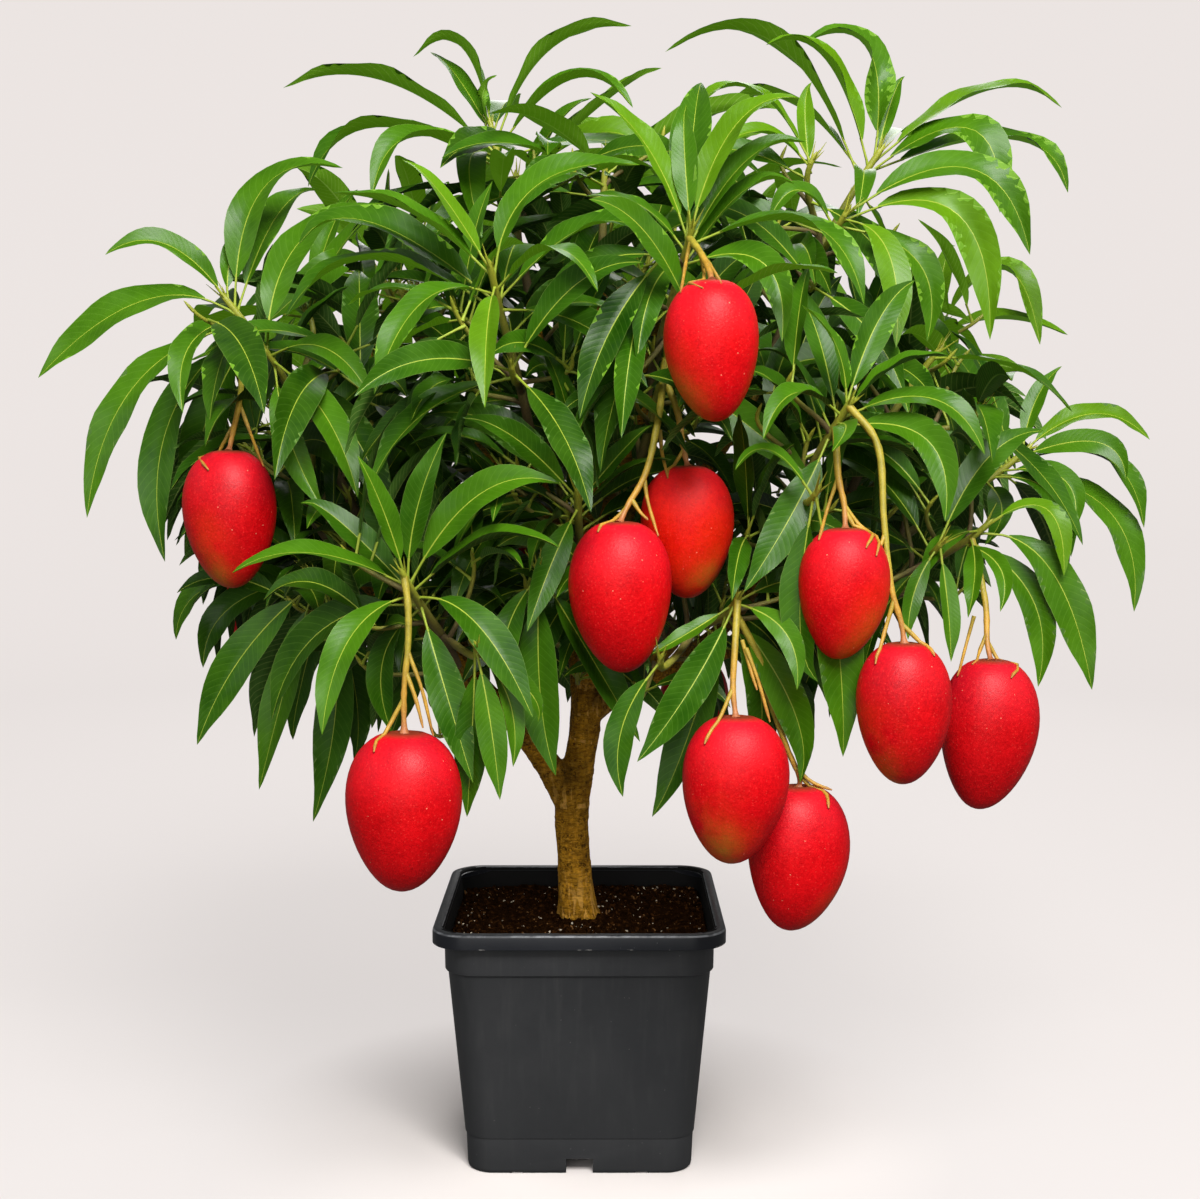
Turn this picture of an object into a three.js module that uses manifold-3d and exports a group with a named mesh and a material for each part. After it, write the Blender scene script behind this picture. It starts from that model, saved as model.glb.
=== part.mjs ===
// A young mango tree in fruit, growing in a square nursery pot.
// Millimetres, +Z up. The origin is the centre of the pot's flat underside, and the pot's four sides
// face along X and Y. Limbs are tapering tubes; each mass of foliage is one fused solid of a stem,
// its side shoots, their leaves and any fruit that hangs from them.
import * as THREE from 'three';
import Module from 'manifold-3d';

const wasm = await Module();
wasm.setup();

// ---------------------------------------------------------------- driving dimensions

// Clearance between a piece and the neighbour that it rests on or is cut by.
const GAP = 0.3;

// Pot: half widths of the square, heights above the floor.
const POT_HEIGHT = 217;
const RIM_HALF = 125;
const RIM_DEPTH = 13;
const RIM_SKIN = 2.4;
const BAND_HALF = 115;
const BAND_BOTTOM = 178;
const BODY_TOP_HALF = 112.5;
const BODY_FOOT_HALF = 99.6;
const FOOT_STEP_HEIGHT = 31.6;
const FOOT_STEP = 1;
const BASE_HALF = 97.5;
const WALL = 2.2;
const FLOOR_UNDERSIDE = 14;
const FLOOR_TOP = 17;
const FOOT_RING_WIDTH = 5;
const BOSS_HALF = 22;
const CORNER_STEPS = 3;
const NOTCH_WIDTH = 23;
const NOTCH_HEIGHT = 13.4;
const SLIT_WIDTH = 10;
const SLIT_HEIGHT = 2;
const SLIT_PLACE = 53.5;
const DRAIN_RADIUS = 7;
const DRAIN_PLACE = 56;
const DRAIN_SIDES = 8;
const DRAIN_COUNT = 4;

// Soil: level of the flat seat under the trunk, and how uneven the rest of it is.
const SOIL_LEVEL = 200;
const SOIL_EDGE = 197.5;
const SOIL_ROUGHNESS = 3;
const SEAT_HALF = 27;

// Trunk: [height, centre x, centre y, radius] from the cut at soil level to the tip.
const TRUNK_SIDES = 10;
const ROOT_LOBES = 5;
const ROOT_LOBE_DEPTH = 0.14;
const TRUNK_STATIONS = [
  [SOIL_LEVEL + GAP, 1, 0, 20.5],
  [207, -0.5, 0, 18.2],
  [216, -2, 0, 17],
  [232, -4, 0, 15.6],
  [256, -6, 0, 14.8],
  [284, -8, 0, 15],
  [308, -7.5, 0, 16],
  [328, -4, 0, 15.4],
  [348, 0, 0, 14],
  [372, 4.5, 0, 13.6],
  [400, 7, 0, 12.2],
  [440, 8, 4, 10.4],
  [490, 5, 8, 9],
  [550, 8, 6, 7.8],
  [620, 14, -2, 6.6],
  [690, 16, -12, 5.6],
];

// Boughs: how far each reaches towards its shoot, its taper and how far it hangs below the straight way.
const BOUGH_REACH = 0.62;
const BOUGH_SAG = 0.05;
const BOUGH_SIDES = 6;
const BOUGH_STEPS = 4;
const BOUGH_BASE_SHARE = 0.74;
const BOUGH_TIP_RADIUS = 4.2;

// Shoots that carry the leaves.
const STEM_BASE_RADIUS = 5;
const STEM_TIP_RADIUS = 4;
const SHOOT_SIDES = 3;
const STEM_STEPS = 3;
const SIDE_SHOOT_LENGTH = 96;
const SIDE_SHOOT_RADIUS = 4.4;
const GOLDEN_ANGLE = THREE.MathUtils.degToRad(137.508);

// Leaves: length with the stalk, width as a share of it, and how they sit on the shoot.
const LEAF_LENGTH = 176;
const LEAF_WIDTH_SHARE = 0.25;
const LEAF_STALK_SHARE = 0.16;
const LEAF_ROLL = 1.3;
const LEAF_KEEL_SHARE = 1 / 80;
const LEAF_ROOT_HALF = 1.1;
const LEAF_ROOT_KEEL = 1.3;
const LEAF_STEPS = 12;
const LEAF_SPACING = 3.4;
const LEAVES_ON_LEADER = 10;
const LEAVES_ON_SIDE = 7;
const SHORT_LEAVES = 2;
const LEAF_WIDEST = 0.38;
const LEAF_SHOULDER = 0.7;
const LEAF_SHOULDER_WIDTH = 0.72;

// How far a mass may lean over into its neighbour's space, and the gap left between two masses.
const OVERHANG = 72;
const CLEAR = 0.6;

// Fruit: shape of the outline from the shoulder down to the tip, as shares of height and half width.
const FRUIT_SIDES = 8;
const FRUIT_DEPTH_SHARE = 0.88;
const FRUIT_OUTLINE = [[0, 0.36], [0.17, 0.86], [0.42, 1], [0.74, 0.8], [0.98, 0.24]];
const FRUIT_STALK_RADIUS = 2.3;
const FRUIT_STALK_STEPS = 3;

// One mass of foliage: the limb that its bough leaves and where on it (0 root, 1 tip), the tips of
// its leader and of the side shoots whose place is known, how many more side shoots grow by the
// rule, its leaf size beside the usual one, and the seed of its growth.
const massRow = (name, from, at, tips, more, leaf, seed) => ({ name, from, at, tips, more, leaf, seed });

const MASSES = [
  massRow('left_high', 'trunk', 0.21, [[-292, -90, 745], [-249, -150, 700]], 1, 1.1, 339),
  massRow('right_high', 'trunk', 0.375, [[380, -60, 620]], 1, 1, 302),
  massRow('front_mid', 'trunk', 0.43, [[1, -230, 588]], 1, 0.85, 185),
  massRow('back_mid', 'trunk', 0.33, [[-30, 300, 640]], 2, 1, 121),
  massRow('front_high_left', 'trunk', 0.56, [[-62, -262, 752]], 1, 0.9, 403),
  massRow('front_high_mid', 'trunk', 0.66, [[85, -250, 782]], 1, 0.95, 454),
  massRow('top_right', 'trunk', 0.52, [[252, -60, 870], [212, -150, 807]], 1, 1.08, 272),
  massRow('top_left', 'trunk', 0.74, [[-76, -20, 898]], 1, 1.1, 152),
  massRow('top_mid', 'trunk', 0.93, [[22, -50, 862]], 0, 1.05, 575),
  massRow('back_high_left', 'trunk', 0.62, [[-200, 130, 800]], 2, 1, 162),
  massRow('back_top', 'trunk', 0.84, [[110, 160, 840]], 1, 1, 446),
  massRow('front_centre', 'front_mid', 0.4, [[68, -200, 690]], 0, 0.9, 457),
  massRow('front_low_right', 'front_mid', 0.22, [[119, -270, 511]], 1, 0.88, 244),
  massRow('left_low', 'left_high', 0.34, [[-222, -70, 515]], 2, 0.98, 323),
  massRow('left_mid', 'left_high', 0.6, [[-272, -70, 615]], 1, 1.02, 143),
  massRow('front_low_left', 'left_high', 0.24, [[-124, -290, 529]], 1, 0.88, 121),
  massRow('back_left', 'left_high', 0.5, [[-300, 130, 640]], 2, 1, 27),
  massRow('back_low_left', 'left_high', 0.28, [[-160, 250, 510]], 1, 1, 457),
  massRow('right_low', 'right_high', 0.62, [[325, -160, 560]], 1, 0.92, 182),
  massRow('right_mid', 'right_high', 0.5, [[292, -120, 700]], 1, 0.92, 379),
  massRow('front_right', 'right_high', 0.36, [[199, -270, 653]], 1, 0.88, 185),
  massRow('right_back', 'right_high', 0.56, [[340, 130, 735]], 1, 1, 207),
  massRow('back_right', 'right_high', 0.3, [[250, 250, 600]], 2, 1, 427),
  massRow('back_low_right', 'back_mid', 0.3, [[110, 270, 480]], 1, 1, 212),
];

// Each fruit: the mass that carries it, its centre, width and height.
const FRUITS = [
  { mass: 'left_high', centre: [-271, -190, 567], width: 72, height: 108 },
  { mass: 'front_low_left', centre: [-124, -300, 359], width: 85, height: 118 },
  { mass: 'front_high_mid', centre: [95, -330, 689], width: 67, height: 98 },
  { mass: 'front_centre', centre: [84, -230, 559], width: 70, height: 101 },
  { mass: 'front_centre', centre: [32, -284, 514], width: 75, height: 111 },
  { mass: 'front_right', centre: [195, -290, 517], width: 67, height: 96 },
  { mass: 'front_right', centre: [237, -300, 431], width: 69, height: 104 },
  { mass: 'right_low', centre: [320, -210, 401], width: 75, height: 118 },
  { mass: 'front_low_right', centre: [116, -300, 375], width: 77, height: 109 },
  { mass: 'front_low_right', centre: [168, -250, 313], width: 77, height: 112 },
  { mass: 'back_mid', centre: [-50, 345, 500], width: 73, height: 108 },
  { mass: 'back_left', centre: [-320, 170, 470], width: 72, height: 106 },
  { mass: 'back_right', centre: [270, 300, 450], width: 74, height: 110 },
  { mass: 'back_low_right', centre: [120, 310, 345], width: 75, height: 110 },
  { mass: 'back_high_left', centre: [-230, 190, 660], width: 68, height: 102 },
];

// ---------------------------------------------------------------- small vector helpers

const vec = (x, y, z) => new THREE.Vector3(x, y, z);
const UP = vec(0, 0, 1);
const plus = (a, b, share = 1) => a.clone().addScaledVector(b, share);
const unit = (a) => a.clone().normalize();

// The part of a that stands square to the unit direction b.
function squareTo(a, b) {
  return plus(a, b, -a.dot(b));
}

// A unit vector square to the direction, as near to level as it can be.
function levelSide(direction) {
  const side = new THREE.Vector3().crossVectors(direction, UP);
  if (side.length() < 0.05) {
    return vec(1, 0, 0);
  }
  return side.normalize();
}

// A repeatable stream of numbers between 0 and 1.
function numberStream(seed) {
  let state = (seed * 7919 + 104729) % 2147483647;
  return () => {
    state = (state * 48271) % 2147483647;
    return state / 2147483647;
  };
}

// ---------------------------------------------------------------- solids

// A closed body through rings of equal count, each end closed by a fan or drawn to a point.
function loftGeometry(rings, point = null) {
  const count = rings[0].length;
  const vertices = rings.flat();
  const faces = [];
  for (let row = 0; row + 1 < rings.length; row += 1) {
    for (let i = 0; i < count; i += 1) {
      const j = (i + 1) % count;
      const [a, b, c, d] = [row * count + i, row * count + j, (row + 1) * count + j, (row + 1) * count + i];
      faces.push(a, b, c, a, c, d);
    }
  }
  for (let i = 1; i + 1 < count; i += 1) {
    faces.push(0, i + 1, i);
  }
  const last = (rings.length - 1) * count;
  if (point) {
    vertices.push(point);
    for (let i = 0; i < count; i += 1) {
      faces.push(last + i, last + ((i + 1) % count), vertices.length - 1);
    }
  } else {
    for (let i = 1; i + 1 < count; i += 1) {
      faces.push(last, last + i, last + i + 1);
    }
  }
  const geometry = new THREE.BufferGeometry();
  const places = vertices.flatMap((place) => place.toArray());
  geometry.setAttribute('position', new THREE.Float32BufferAttribute(places, 3));
  geometry.setIndex(faces);
  return geometry;
}

function toSolid(geometry) {
  return new wasm.Manifold(new wasm.Mesh({
    numProp: 3,
    vertProperties: Float32Array.from(geometry.attributes.position.array),
    triVerts: Uint32Array.from(geometry.index.array),
  }));
}

function toGeometry(solid) {
  const mesh = solid.getMesh();
  const geometry = new THREE.BufferGeometry();
  geometry.setAttribute('position', new THREE.BufferAttribute(Float32Array.from(mesh.vertProperties), 3));
  geometry.setIndex(new THREE.BufferAttribute(Uint32Array.from(mesh.triVerts), 1));
  return geometry;
}

// The largest closed body of a solid: loose scraps are dropped and sealed hollows filled.
function mainBody(solid) {
  const bodies = solid.decompose();
  return bodies.reduce((best, body) => (body.volume() > best.volume() ? body : best));
}

// The places along a curve, each with its way and two square sides carried along without twist.
function curveFrames(curve, steps) {
  let side = null;
  const frames = [];
  for (let i = 0; i <= steps; i += 1) {
    const way = curve.getTangent(i / steps);
    side = unit(squareTo(side || levelSide(way), way));
    const over = new THREE.Vector3().crossVectors(way, side);
    frames.push({ point: curve.getPoint(i / steps), way, side, over });
  }
  return frames;
}

// A round limb along its frames, thicker and longer by the extra where clearance is wanted round it.
function tubeSolid(frames, radii, sides, extra = 0) {
  const last = frames.length - 1;
  return toSolid(loftGeometry(frames.map(({ point, way, side, over }, i) => {
    const middle = plus(point, way, i === 0 ? -extra : (i === last ? extra : 0));
    const reach = radii[i] + extra / Math.cos(Math.PI / sides);
    const ring = [];
    for (let k = 0; k < sides; k += 1) {
      const angle = (2 * Math.PI * k) / sides;
      ring.push(plus(plus(middle, side, reach * Math.cos(angle)), over, reach * Math.sin(angle)));
    }
    return ring;
  })));
}

// A curve that leaves one place in a given direction and arrives at another in a given direction.
function sweep(start, startWay, end, endWay, pull = 0.36) {
  const length = start.distanceTo(end);
  const leave = plus(start, startWay, pull * length);
  const arrive = plus(end, endWay, -pull * length);
  return new THREE.CubicBezierCurve3(start, leave, arrive, end);
}

// ---------------------------------------------------------------- pot

// A square with round corners, counter-clockwise from above.
function roundedSquare(half, corner, height) {
  const ring = [];
  for (let quarter = 0; quarter < 4; quarter += 1) {
    const turn = (quarter * Math.PI) / 2;
    for (let i = 0; i <= CORNER_STEPS; i += 1) {
      const angle = turn + (i * Math.PI) / (2 * CORNER_STEPS);
      const middle = half - corner;
      const cx = middle * (Math.cos(turn) - Math.sin(turn));
      const cy = middle * (Math.sin(turn) + Math.cos(turn));
      ring.push(vec(cx + corner * Math.cos(angle), cy + corner * Math.sin(angle), height));
    }
  }
  return ring;
}

function block(width, depth, height, x, y, z) {
  const geometry = new THREE.BoxGeometry(width, depth, height);
  geometry.translate(x, y, z);
  return boxSolid(geometry);
}

// A box or cylinder from three.js with its split corners joined up again.
function boxSolid(geometry) {
  const seen = new Map();
  const vertices = [];
  const places = geometry.attributes.position;
  const rename = [];
  for (let i = 0; i < places.count; i += 1) {
    const key = [places.getX(i), places.getY(i), places.getZ(i)].map((n) => n.toFixed(4)).join();
    if (!seen.has(key)) {
      seen.set(key, vertices.length / 3);
      vertices.push(places.getX(i), places.getY(i), places.getZ(i));
    }
    rename.push(seen.get(key));
  }
  const joined = new THREE.BufferGeometry();
  joined.setAttribute('position', new THREE.Float32BufferAttribute(vertices, 3));
  joined.setIndex(Array.from(geometry.index.array, (i) => rename[i]));
  return toSolid(joined);
}

function potSolid() {
  const skirtBottom = POT_HEIGHT - RIM_DEPTH;
  const lipInner = RIM_HALF - 8;
  // Half width, corner radius and height, from the boss under the floor out, up, over the lip and in.
  const profile = [
    [BOSS_HALF, 10, 0],
    [BOSS_HALF + 1, 10.5, FLOOR_UNDERSIDE],
    [BASE_HALF - 3 - FOOT_RING_WIDTH, 17, FLOOR_UNDERSIDE],
    [BASE_HALF - 2.5 - FOOT_RING_WIDTH, 17.5, 0],
    [BASE_HALF - 2.5, 21, 0],
    [BASE_HALF, 23, 4],
    [BODY_FOOT_HALF - FOOT_STEP, 23.4, FOOT_STEP_HEIGHT],
    [BODY_FOOT_HALF, 24, FOOT_STEP_HEIGHT + 0.6],
    [BODY_TOP_HALF, 27, BAND_BOTTOM],
    [BAND_HALF, 28, BAND_BOTTOM + 1.6],
    [BAND_HALF + 0.6, 28, POT_HEIGHT - RIM_SKIN],
    [RIM_HALF - RIM_SKIN, 28.6, POT_HEIGHT - RIM_SKIN],
    [RIM_HALF - RIM_SKIN, 28.6, skirtBottom],
    [RIM_HALF, 30, skirtBottom],
    [RIM_HALF, 30, POT_HEIGHT - 1.6],
    [RIM_HALF - 1.8, 29.2, POT_HEIGHT],
    [lipInner, 26.4, POT_HEIGHT],
    [BAND_HALF - WALL, 26, SOIL_LEVEL - 2],
    [BODY_FOOT_HALF - WALL, 22, FOOT_STEP_HEIGHT],
    [BASE_HALF - WALL, 21, FLOOR_TOP],
  ];
  const rings = profile.map(([half, corner, height]) => roundedSquare(half, corner, height));
  let pot = toSolid(loftGeometry(rings));
  const reach = 24;
  for (let quarter = 0; quarter < 4; quarter += 1) {
    const turn = quarter * 90;
    const middle = BASE_HALF - FOOT_RING_WIDTH;
    let cut = block(reach, NOTCH_WIDTH, 2 * NOTCH_HEIGHT, middle, 0, 0);
    for (const side of [-1, 1]) {
      cut = cut.add(block(reach, SLIT_WIDTH, 2 * SLIT_HEIGHT, middle, side * SLIT_PLACE, 0));
    }
    pot = pot.subtract(cut.rotate([0, 0, turn]));
  }
  for (let i = 0; i < DRAIN_COUNT; i += 1) {
    const length = 3 * (FLOOR_TOP - FLOOR_UNDERSIDE);
    const hole = new THREE.CylinderGeometry(DRAIN_RADIUS, DRAIN_RADIUS, length, DRAIN_SIDES);
    hole.rotateX(Math.PI / 2);
    const angle = ((2 * i + 1) * Math.PI) / DRAIN_COUNT;
    const middle = (FLOOR_TOP + FLOOR_UNDERSIDE) / 2;
    hole.translate(DRAIN_PLACE * Math.cos(angle), DRAIN_PLACE * Math.sin(angle), middle);
    pot = pot.subtract(boxSolid(hole));
  }
  return pot;
}

function soilSolid() {
  const next = numberStream(5);
  const rings = [
    [BASE_HALF - WALL - GAP - 0.2, 20.6, FLOOR_TOP + GAP],
    [BODY_FOOT_HALF - WALL - GAP - 0.1, 21.7, FOOT_STEP_HEIGHT],
    [BAND_HALF - WALL - GAP - 0.5, 25.7, SOIL_EDGE - 2],
  ].map(([half, corner, height]) => roundedSquare(half, corner, height));
  for (const [half, corner] of [[100, 26], [80, 30], [58, 32], [40, 28]]) {
    const ring = roundedSquare(half, corner, SOIL_LEVEL);
    ring.forEach((place) => {
      place.z += SOIL_ROUGHNESS * (next() - 0.55);
    });
    rings.push(ring);
  }
  rings.push(roundedSquare(SEAT_HALF, 20, SOIL_LEVEL));
  return toSolid(loftGeometry(rings));
}

// ---------------------------------------------------------------- trunk and boughs

// Every limb answers where its middle line is, which way it runs and how thick it is, 0 root to 1 tip.
const limbs = new Map();

function addTrunk() {
  const stations = TRUNK_STATIONS.map(([height, x, y, radius]) => ({ middle: vec(x, y, height), radius }));
  const bottom = stations[0].middle.z;
  const top = stations[stations.length - 1].middle.z;
  const lookUp = (share) => {
    const height = bottom + share * (top - bottom);
    let i = 0;
    while (i + 2 < stations.length && stations[i + 1].middle.z < height) {
      i += 1;
    }
    const [low, high] = [stations[i], stations[i + 1]];
    const part = (height - low.middle.z) / (high.middle.z - low.middle.z);
    return {
      middle: low.middle.clone().lerp(high.middle, part),
      way: unit(plus(high.middle, low.middle, -1)),
      radius: low.radius + part * (high.radius - low.radius),
    };
  };
  const trunkRings = (extra) => stations.map(({ middle, radius }, row) => {
    const ring = [];
    const flare = Math.max(0, 1 - row / 4);
    for (let k = 0; k < TRUNK_SIDES; k += 1) {
      const angle = (2 * Math.PI * k) / TRUNK_SIDES;
      const lobe = 1 + ROOT_LOBE_DEPTH * flare * Math.cos(ROOT_LOBES * angle / 2) ** 2;
      const reach = radius * lobe + extra / Math.cos(Math.PI / TRUNK_SIDES);
      const lift = row + 1 === stations.length ? extra : 0;
      ring.push(plus(plus(middle, vec(Math.cos(angle), Math.sin(angle), 0), reach), UP, lift));
    }
    return ring;
  });
  limbs.set('trunk', {
    lookUp,
    solid: toSolid(loftGeometry(trunkRings(0))),
    fat: toSolid(loftGeometry(trunkRings(GAP))),
  });
}

// A bough grows out of its parent's middle line towards its mass and stops short of it.
function addBough({ name, from, at, tips }) {
  const parent = limbs.get(from);
  const root = parent.lookUp(at);
  const goal = vec(...tips[0]);
  const length = root.middle.distanceTo(goal);
  const tip = plus(root.middle.clone().lerp(goal, BOUGH_REACH), UP, -BOUGH_SAG * length);
  const outward = unit(plus(tip, root.middle, -1));
  const startWay = unit(plus(outward, root.way, 0.35));
  const endWay = unit(plus(unit(plus(goal, tip, -1)), UP, 0.3));
  const curve = sweep(root.middle, startWay, tip, endWay);
  const baseRadius = Math.max(root.radius * BOUGH_BASE_SHARE, BOUGH_TIP_RADIUS + 0.8);
  const radiusAt = (share) => baseRadius + (BOUGH_TIP_RADIUS - baseRadius) * share ** 0.8;
  const frames = curveFrames(curve, BOUGH_STEPS);
  const radii = frames.map((_, i) => radiusAt(i / BOUGH_STEPS));
  let solid = tubeSolid(frames, radii, BOUGH_SIDES);
  for (const limb of limbs.values()) {
    solid = solid.subtract(limb.fat);
  }
  limbs.set(name, {
    lookUp: (share) => ({
      middle: curve.getPoint(share),
      way: curve.getTangent(share),
      radius: radiusAt(share),
    }),
    solid: mainBody(solid),
    fat: tubeSolid(frames, radii, BOUGH_SIDES, GAP),
  });
}

// ---------------------------------------------------------------- shoots, leaves and fruit

// Which way a shoot's tip points: up, and outward more the further out it stands.
function shootAxis(tip) {
  return unit(vec(tip.x / 470, tip.y / 400, 0.78));
}

// The leader of a mass, then its side shoots; each has a curve and a radius at both ends.
function growShoots(mass) {
  const next = numberStream(mass.seed);
  const bough = limbs.get(mass.name).lookUp(1);
  const start = plus(bough.middle, bough.way, GAP + 0.05);
  const leaderTip = vec(...mass.tips[0]);
  const axis = shootAxis(leaderTip);
  const leader = {
    curve: sweep(start, bough.way, leaderTip, axis, 0.3),
    radii: [STEM_BASE_RADIUS, STEM_TIP_RADIUS],
    leaves: LEAVES_ON_LEADER,
    turn: next() * 2 * Math.PI,
  };
  const shoots = [leader];
  const firstTurn = next() * 2 * Math.PI;
  const sides = mass.tips.length - 1 + mass.more;
  for (let i = 0; i < sides; i += 1) {
    const share = 0.3 + 0.22 * i;
    const root = placeOnShoot(leader, share);
    const way = leader.curve.getTangent(share);
    let tip;
    const spread = firstTurn + i * GOLDEN_ANGLE + 0.5 * (next() - 0.5);
    const reach = SIDE_SHOOT_LENGTH * (0.85 + 0.3 * next());
    if (i + 1 < mass.tips.length) {
      tip = vec(...mass.tips[i + 1]);
    } else {
      const side = levelSide(way);
      const over = new THREE.Vector3().crossVectors(way, side);
      const sideways = plus(side.multiplyScalar(Math.cos(spread)), over, Math.sin(spread));
      tip = plus(root, unit(plus(plus(way, UP, 0.25), sideways, 1.25)), reach);
    }
    const startWay = unit(plus(way, unit(plus(tip, root, -1)), 1));
    shoots.push({
      curve: sweep(root, startWay, tip, shootAxis(tip), 0.3),
      radii: [SIDE_SHOOT_RADIUS, STEM_TIP_RADIUS],
      leaves: LEAVES_ON_SIDE,
      turn: next() * 2 * Math.PI,
    });
  }
  return shoots;
}

function shootSolid({ curve, radii }) {
  const widths = [];
  for (let i = 0; i <= STEM_STEPS; i += 1) {
    widths.push(radii[0] + ((radii[1] - radii[0]) * i) / STEM_STEPS);
  }
  return tubeSolid(curveFrames(curve, STEM_STEPS), widths, SHOOT_SIDES);
}

// A place on a shoot's middle line as it is built, straight from frame to frame.
function placeOnShoot({ curve }, share) {
  const row = Math.min(Math.floor(share * STEM_STEPS), STEM_STEPS - 1);
  const [low, high] = [curve.getPoint(row / STEM_STEPS), curve.getPoint((row + 1) / STEM_STEPS)];
  return low.lerp(high, share * STEM_STEPS - row);
}

// The leaves of one shoot, youngest first: where each is rooted and how it lies.
function leafPlans(shoot, mass, count, shootNumber) {
  const next = numberStream(mass.seed * 31 + shootNumber * 7 + 3);
  const length = shoot.curve.getLength();
  const height = shoot.curve.getPoint(1).z;
  const limpness = THREE.MathUtils.clamp(THREE.MathUtils.mapLinear(height, 520, 880, 1.15, 0.75), 0.75, 1.2);
  const plans = [];
  for (let i = 0; i < count; i += 1) {
    const [u1, u2, u3, u4, u5] = [next(), next(), next(), next(), next()];
    const age = i / (LEAVES_ON_LEADER - 1);
    const back = 3 + LEAF_SPACING * i + 0.15 * i * i;
    const share = Math.max(0.12, 1 - back / length);
    plans.push({
      rank: i,
      root: placeOnShoot(shoot, share),
      axis: shoot.curve.getTangent(share),
      turn: shoot.turn + i * GOLDEN_ANGLE + 0.4 * (u1 - 0.5),
      open: THREE.MathUtils.degToRad(38 + 50 * Math.min(1, age) ** 0.7 + 14 * (u2 - 0.5)),
      length: LEAF_LENGTH * mass.leaf * (0.74 + 0.26 * Math.min(1, i / 4)) * (0.92 + 0.16 * u3),
      droop: limpness * (1.15 + 0.95 * Math.min(1, age) + 0.4 * (u4 - 0.5)),
      roll: LEAF_ROLL * (u5 - 0.5),
    });
  }
  return plans;
}

// The middle line of a leaf: it leaves the shoot stiffly and bends down under its own weight.
function leafLine(plan) {
  const side = levelSide(plan.axis);
  const over = new THREE.Vector3().crossVectors(plan.axis, side);
  const outward = plus(side.multiplyScalar(Math.cos(plan.turn)), over, Math.sin(plan.turn));
  let way = unit(plus(plan.axis.clone().multiplyScalar(Math.cos(plan.open)), outward, Math.sin(plan.open)));
  let face = unit(squareTo(plus(plan.axis.clone().multiplyScalar(0.6), UP, 0.5), way));
  face.applyAxisAngle(way, plan.roll);
  let { root: point } = plan;
  const step = plan.length / LEAF_STEPS;
  const line = [{ point, way, face }];
  for (let i = 0; i < LEAF_STEPS; i += 1) {
    const share = i / LEAF_STEPS;
    const bend = plan.droop * (0.35 + 1.3 * share) / LEAF_STEPS;
    way = unit(plus(way, UP, -bend));
    face = unit(squareTo(face, way));
    point = plus(point, way, step);
    line.push({ point, way, face });
  }
  return line;
}

// A leaf solid: a flat face above and a keel below, root, widest place, shoulder and tip.
function leafSolid(plan, line, firstShare = 0) {
  const width = plan.length * LEAF_WIDTH_SHARE;
  const keel = Math.max(plan.length * LEAF_KEEL_SHARE, 1.6);
  const blade = (share) => LEAF_STALK_SHARE + share * (1 - LEAF_STALK_SHARE);
  const stations = [
    [firstShare, LEAF_ROOT_HALF + firstShare * width, LEAF_ROOT_KEEL],
    [blade(LEAF_WIDEST), width / 2, keel],
  ];
  if (plan.rank >= SHORT_LEAVES) {
    stations.push([blade(LEAF_SHOULDER), (LEAF_SHOULDER_WIDTH * width) / 2, keel]);
  }
  const rings = stations.map(([share, half, depth]) => {
    const { point, way, face } = line[Math.round(share * LEAF_STEPS)];
    const side = new THREE.Vector3().crossVectors(way, face);
    const above = plus(point, face, depth / 2);
    return [plus(above, side, -half), plus(above, side, half), plus(point, face, -depth / 2)];
  });
  return toSolid(loftGeometry(rings, line[LEAF_STEPS].point));
}

function fruitSolids(fruit, shoots) {
  const centre = vec(...fruit.centre);
  const top = plus(centre, UP, fruit.height / 2);
  const rings = FRUIT_OUTLINE.map(([down, wide]) => {
    const ring = [];
    for (let k = 0; k < FRUIT_SIDES; k += 1) {
      const angle = (-2 * Math.PI * (k + 0.5)) / FRUIT_SIDES;
      const across = (wide * fruit.width * Math.cos(angle)) / 2;
      const deep = (wide * fruit.width * FRUIT_DEPTH_SHARE * Math.sin(angle)) / 2;
      ring.push(plus(top, vec(across, deep, -down * fruit.height)));
    }
    return ring;
  });
  const body = toSolid(loftGeometry(rings, plus(top, UP, -fruit.height)));
  const tips = shoots.map((shoot) => placeOnShoot(shoot, 0.9));
  const start = tips.reduce((best, tip) => (tip.distanceTo(top) < best.distanceTo(top) ? tip : best));
  const outward = vec(top.x - start.x, top.y - start.y, 0);
  const startWay = unit(plus(unit(outward), UP, 0.1));
  const seat = plus(top, UP, -0.12 * fruit.height);
  const curve = sweep(start, startWay, seat, vec(0, 0, -1), 0.3);
  const frames = curveFrames(curve, FRUIT_STALK_STEPS);
  return [body, tubeSolid(frames, frames.map(() => FRUIT_STALK_RADIUS), SHOOT_SIDES)];
}

// ---------------------------------------------------------------- who grows where

// Everything placed so far, with its owner, so that two masses never touch.
const placed = [];

function boxesMeet(a, b, margin) {
  return [0, 1, 2].every((i) => a.min[i] - margin < b.max[i] && b.min[i] - margin < a.max[i]);
}

function place(solid, owner, blade = null) {
  placed.push({ solid, owner, blade, box: solid.boundingBox() });
}

// Whether a solid stays clear of all limbs and of every other mass.
function staysClear(solid, owner) {
  const box = solid.boundingBox();
  return placed.every((other) => {
    if (other.owner === owner || !boxesMeet(box, other.box, CLEAR)) {
      return true;
    }
    return solid.minGap(other.solid, CLEAR) >= CLEAR;
  });
}

// Whether a blade crosses another leaf, a shoot or a fruit of its own mass. Stalks may meet.
function crossesOwn(solid, blade, owner) {
  const box = solid.boundingBox();
  const meets = (a, b) => a.minGap(b, CLEAR) < CLEAR;
  return placed.some((other) => other.owner === owner && boxesMeet(box, other.box, CLEAR)
    && (meets(blade, other.solid) || (other.blade && meets(solid, other.blade))));
}

// The points along a mass's shoots, which say whose space a place in the crown is.
const shootMarks = [];

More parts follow.
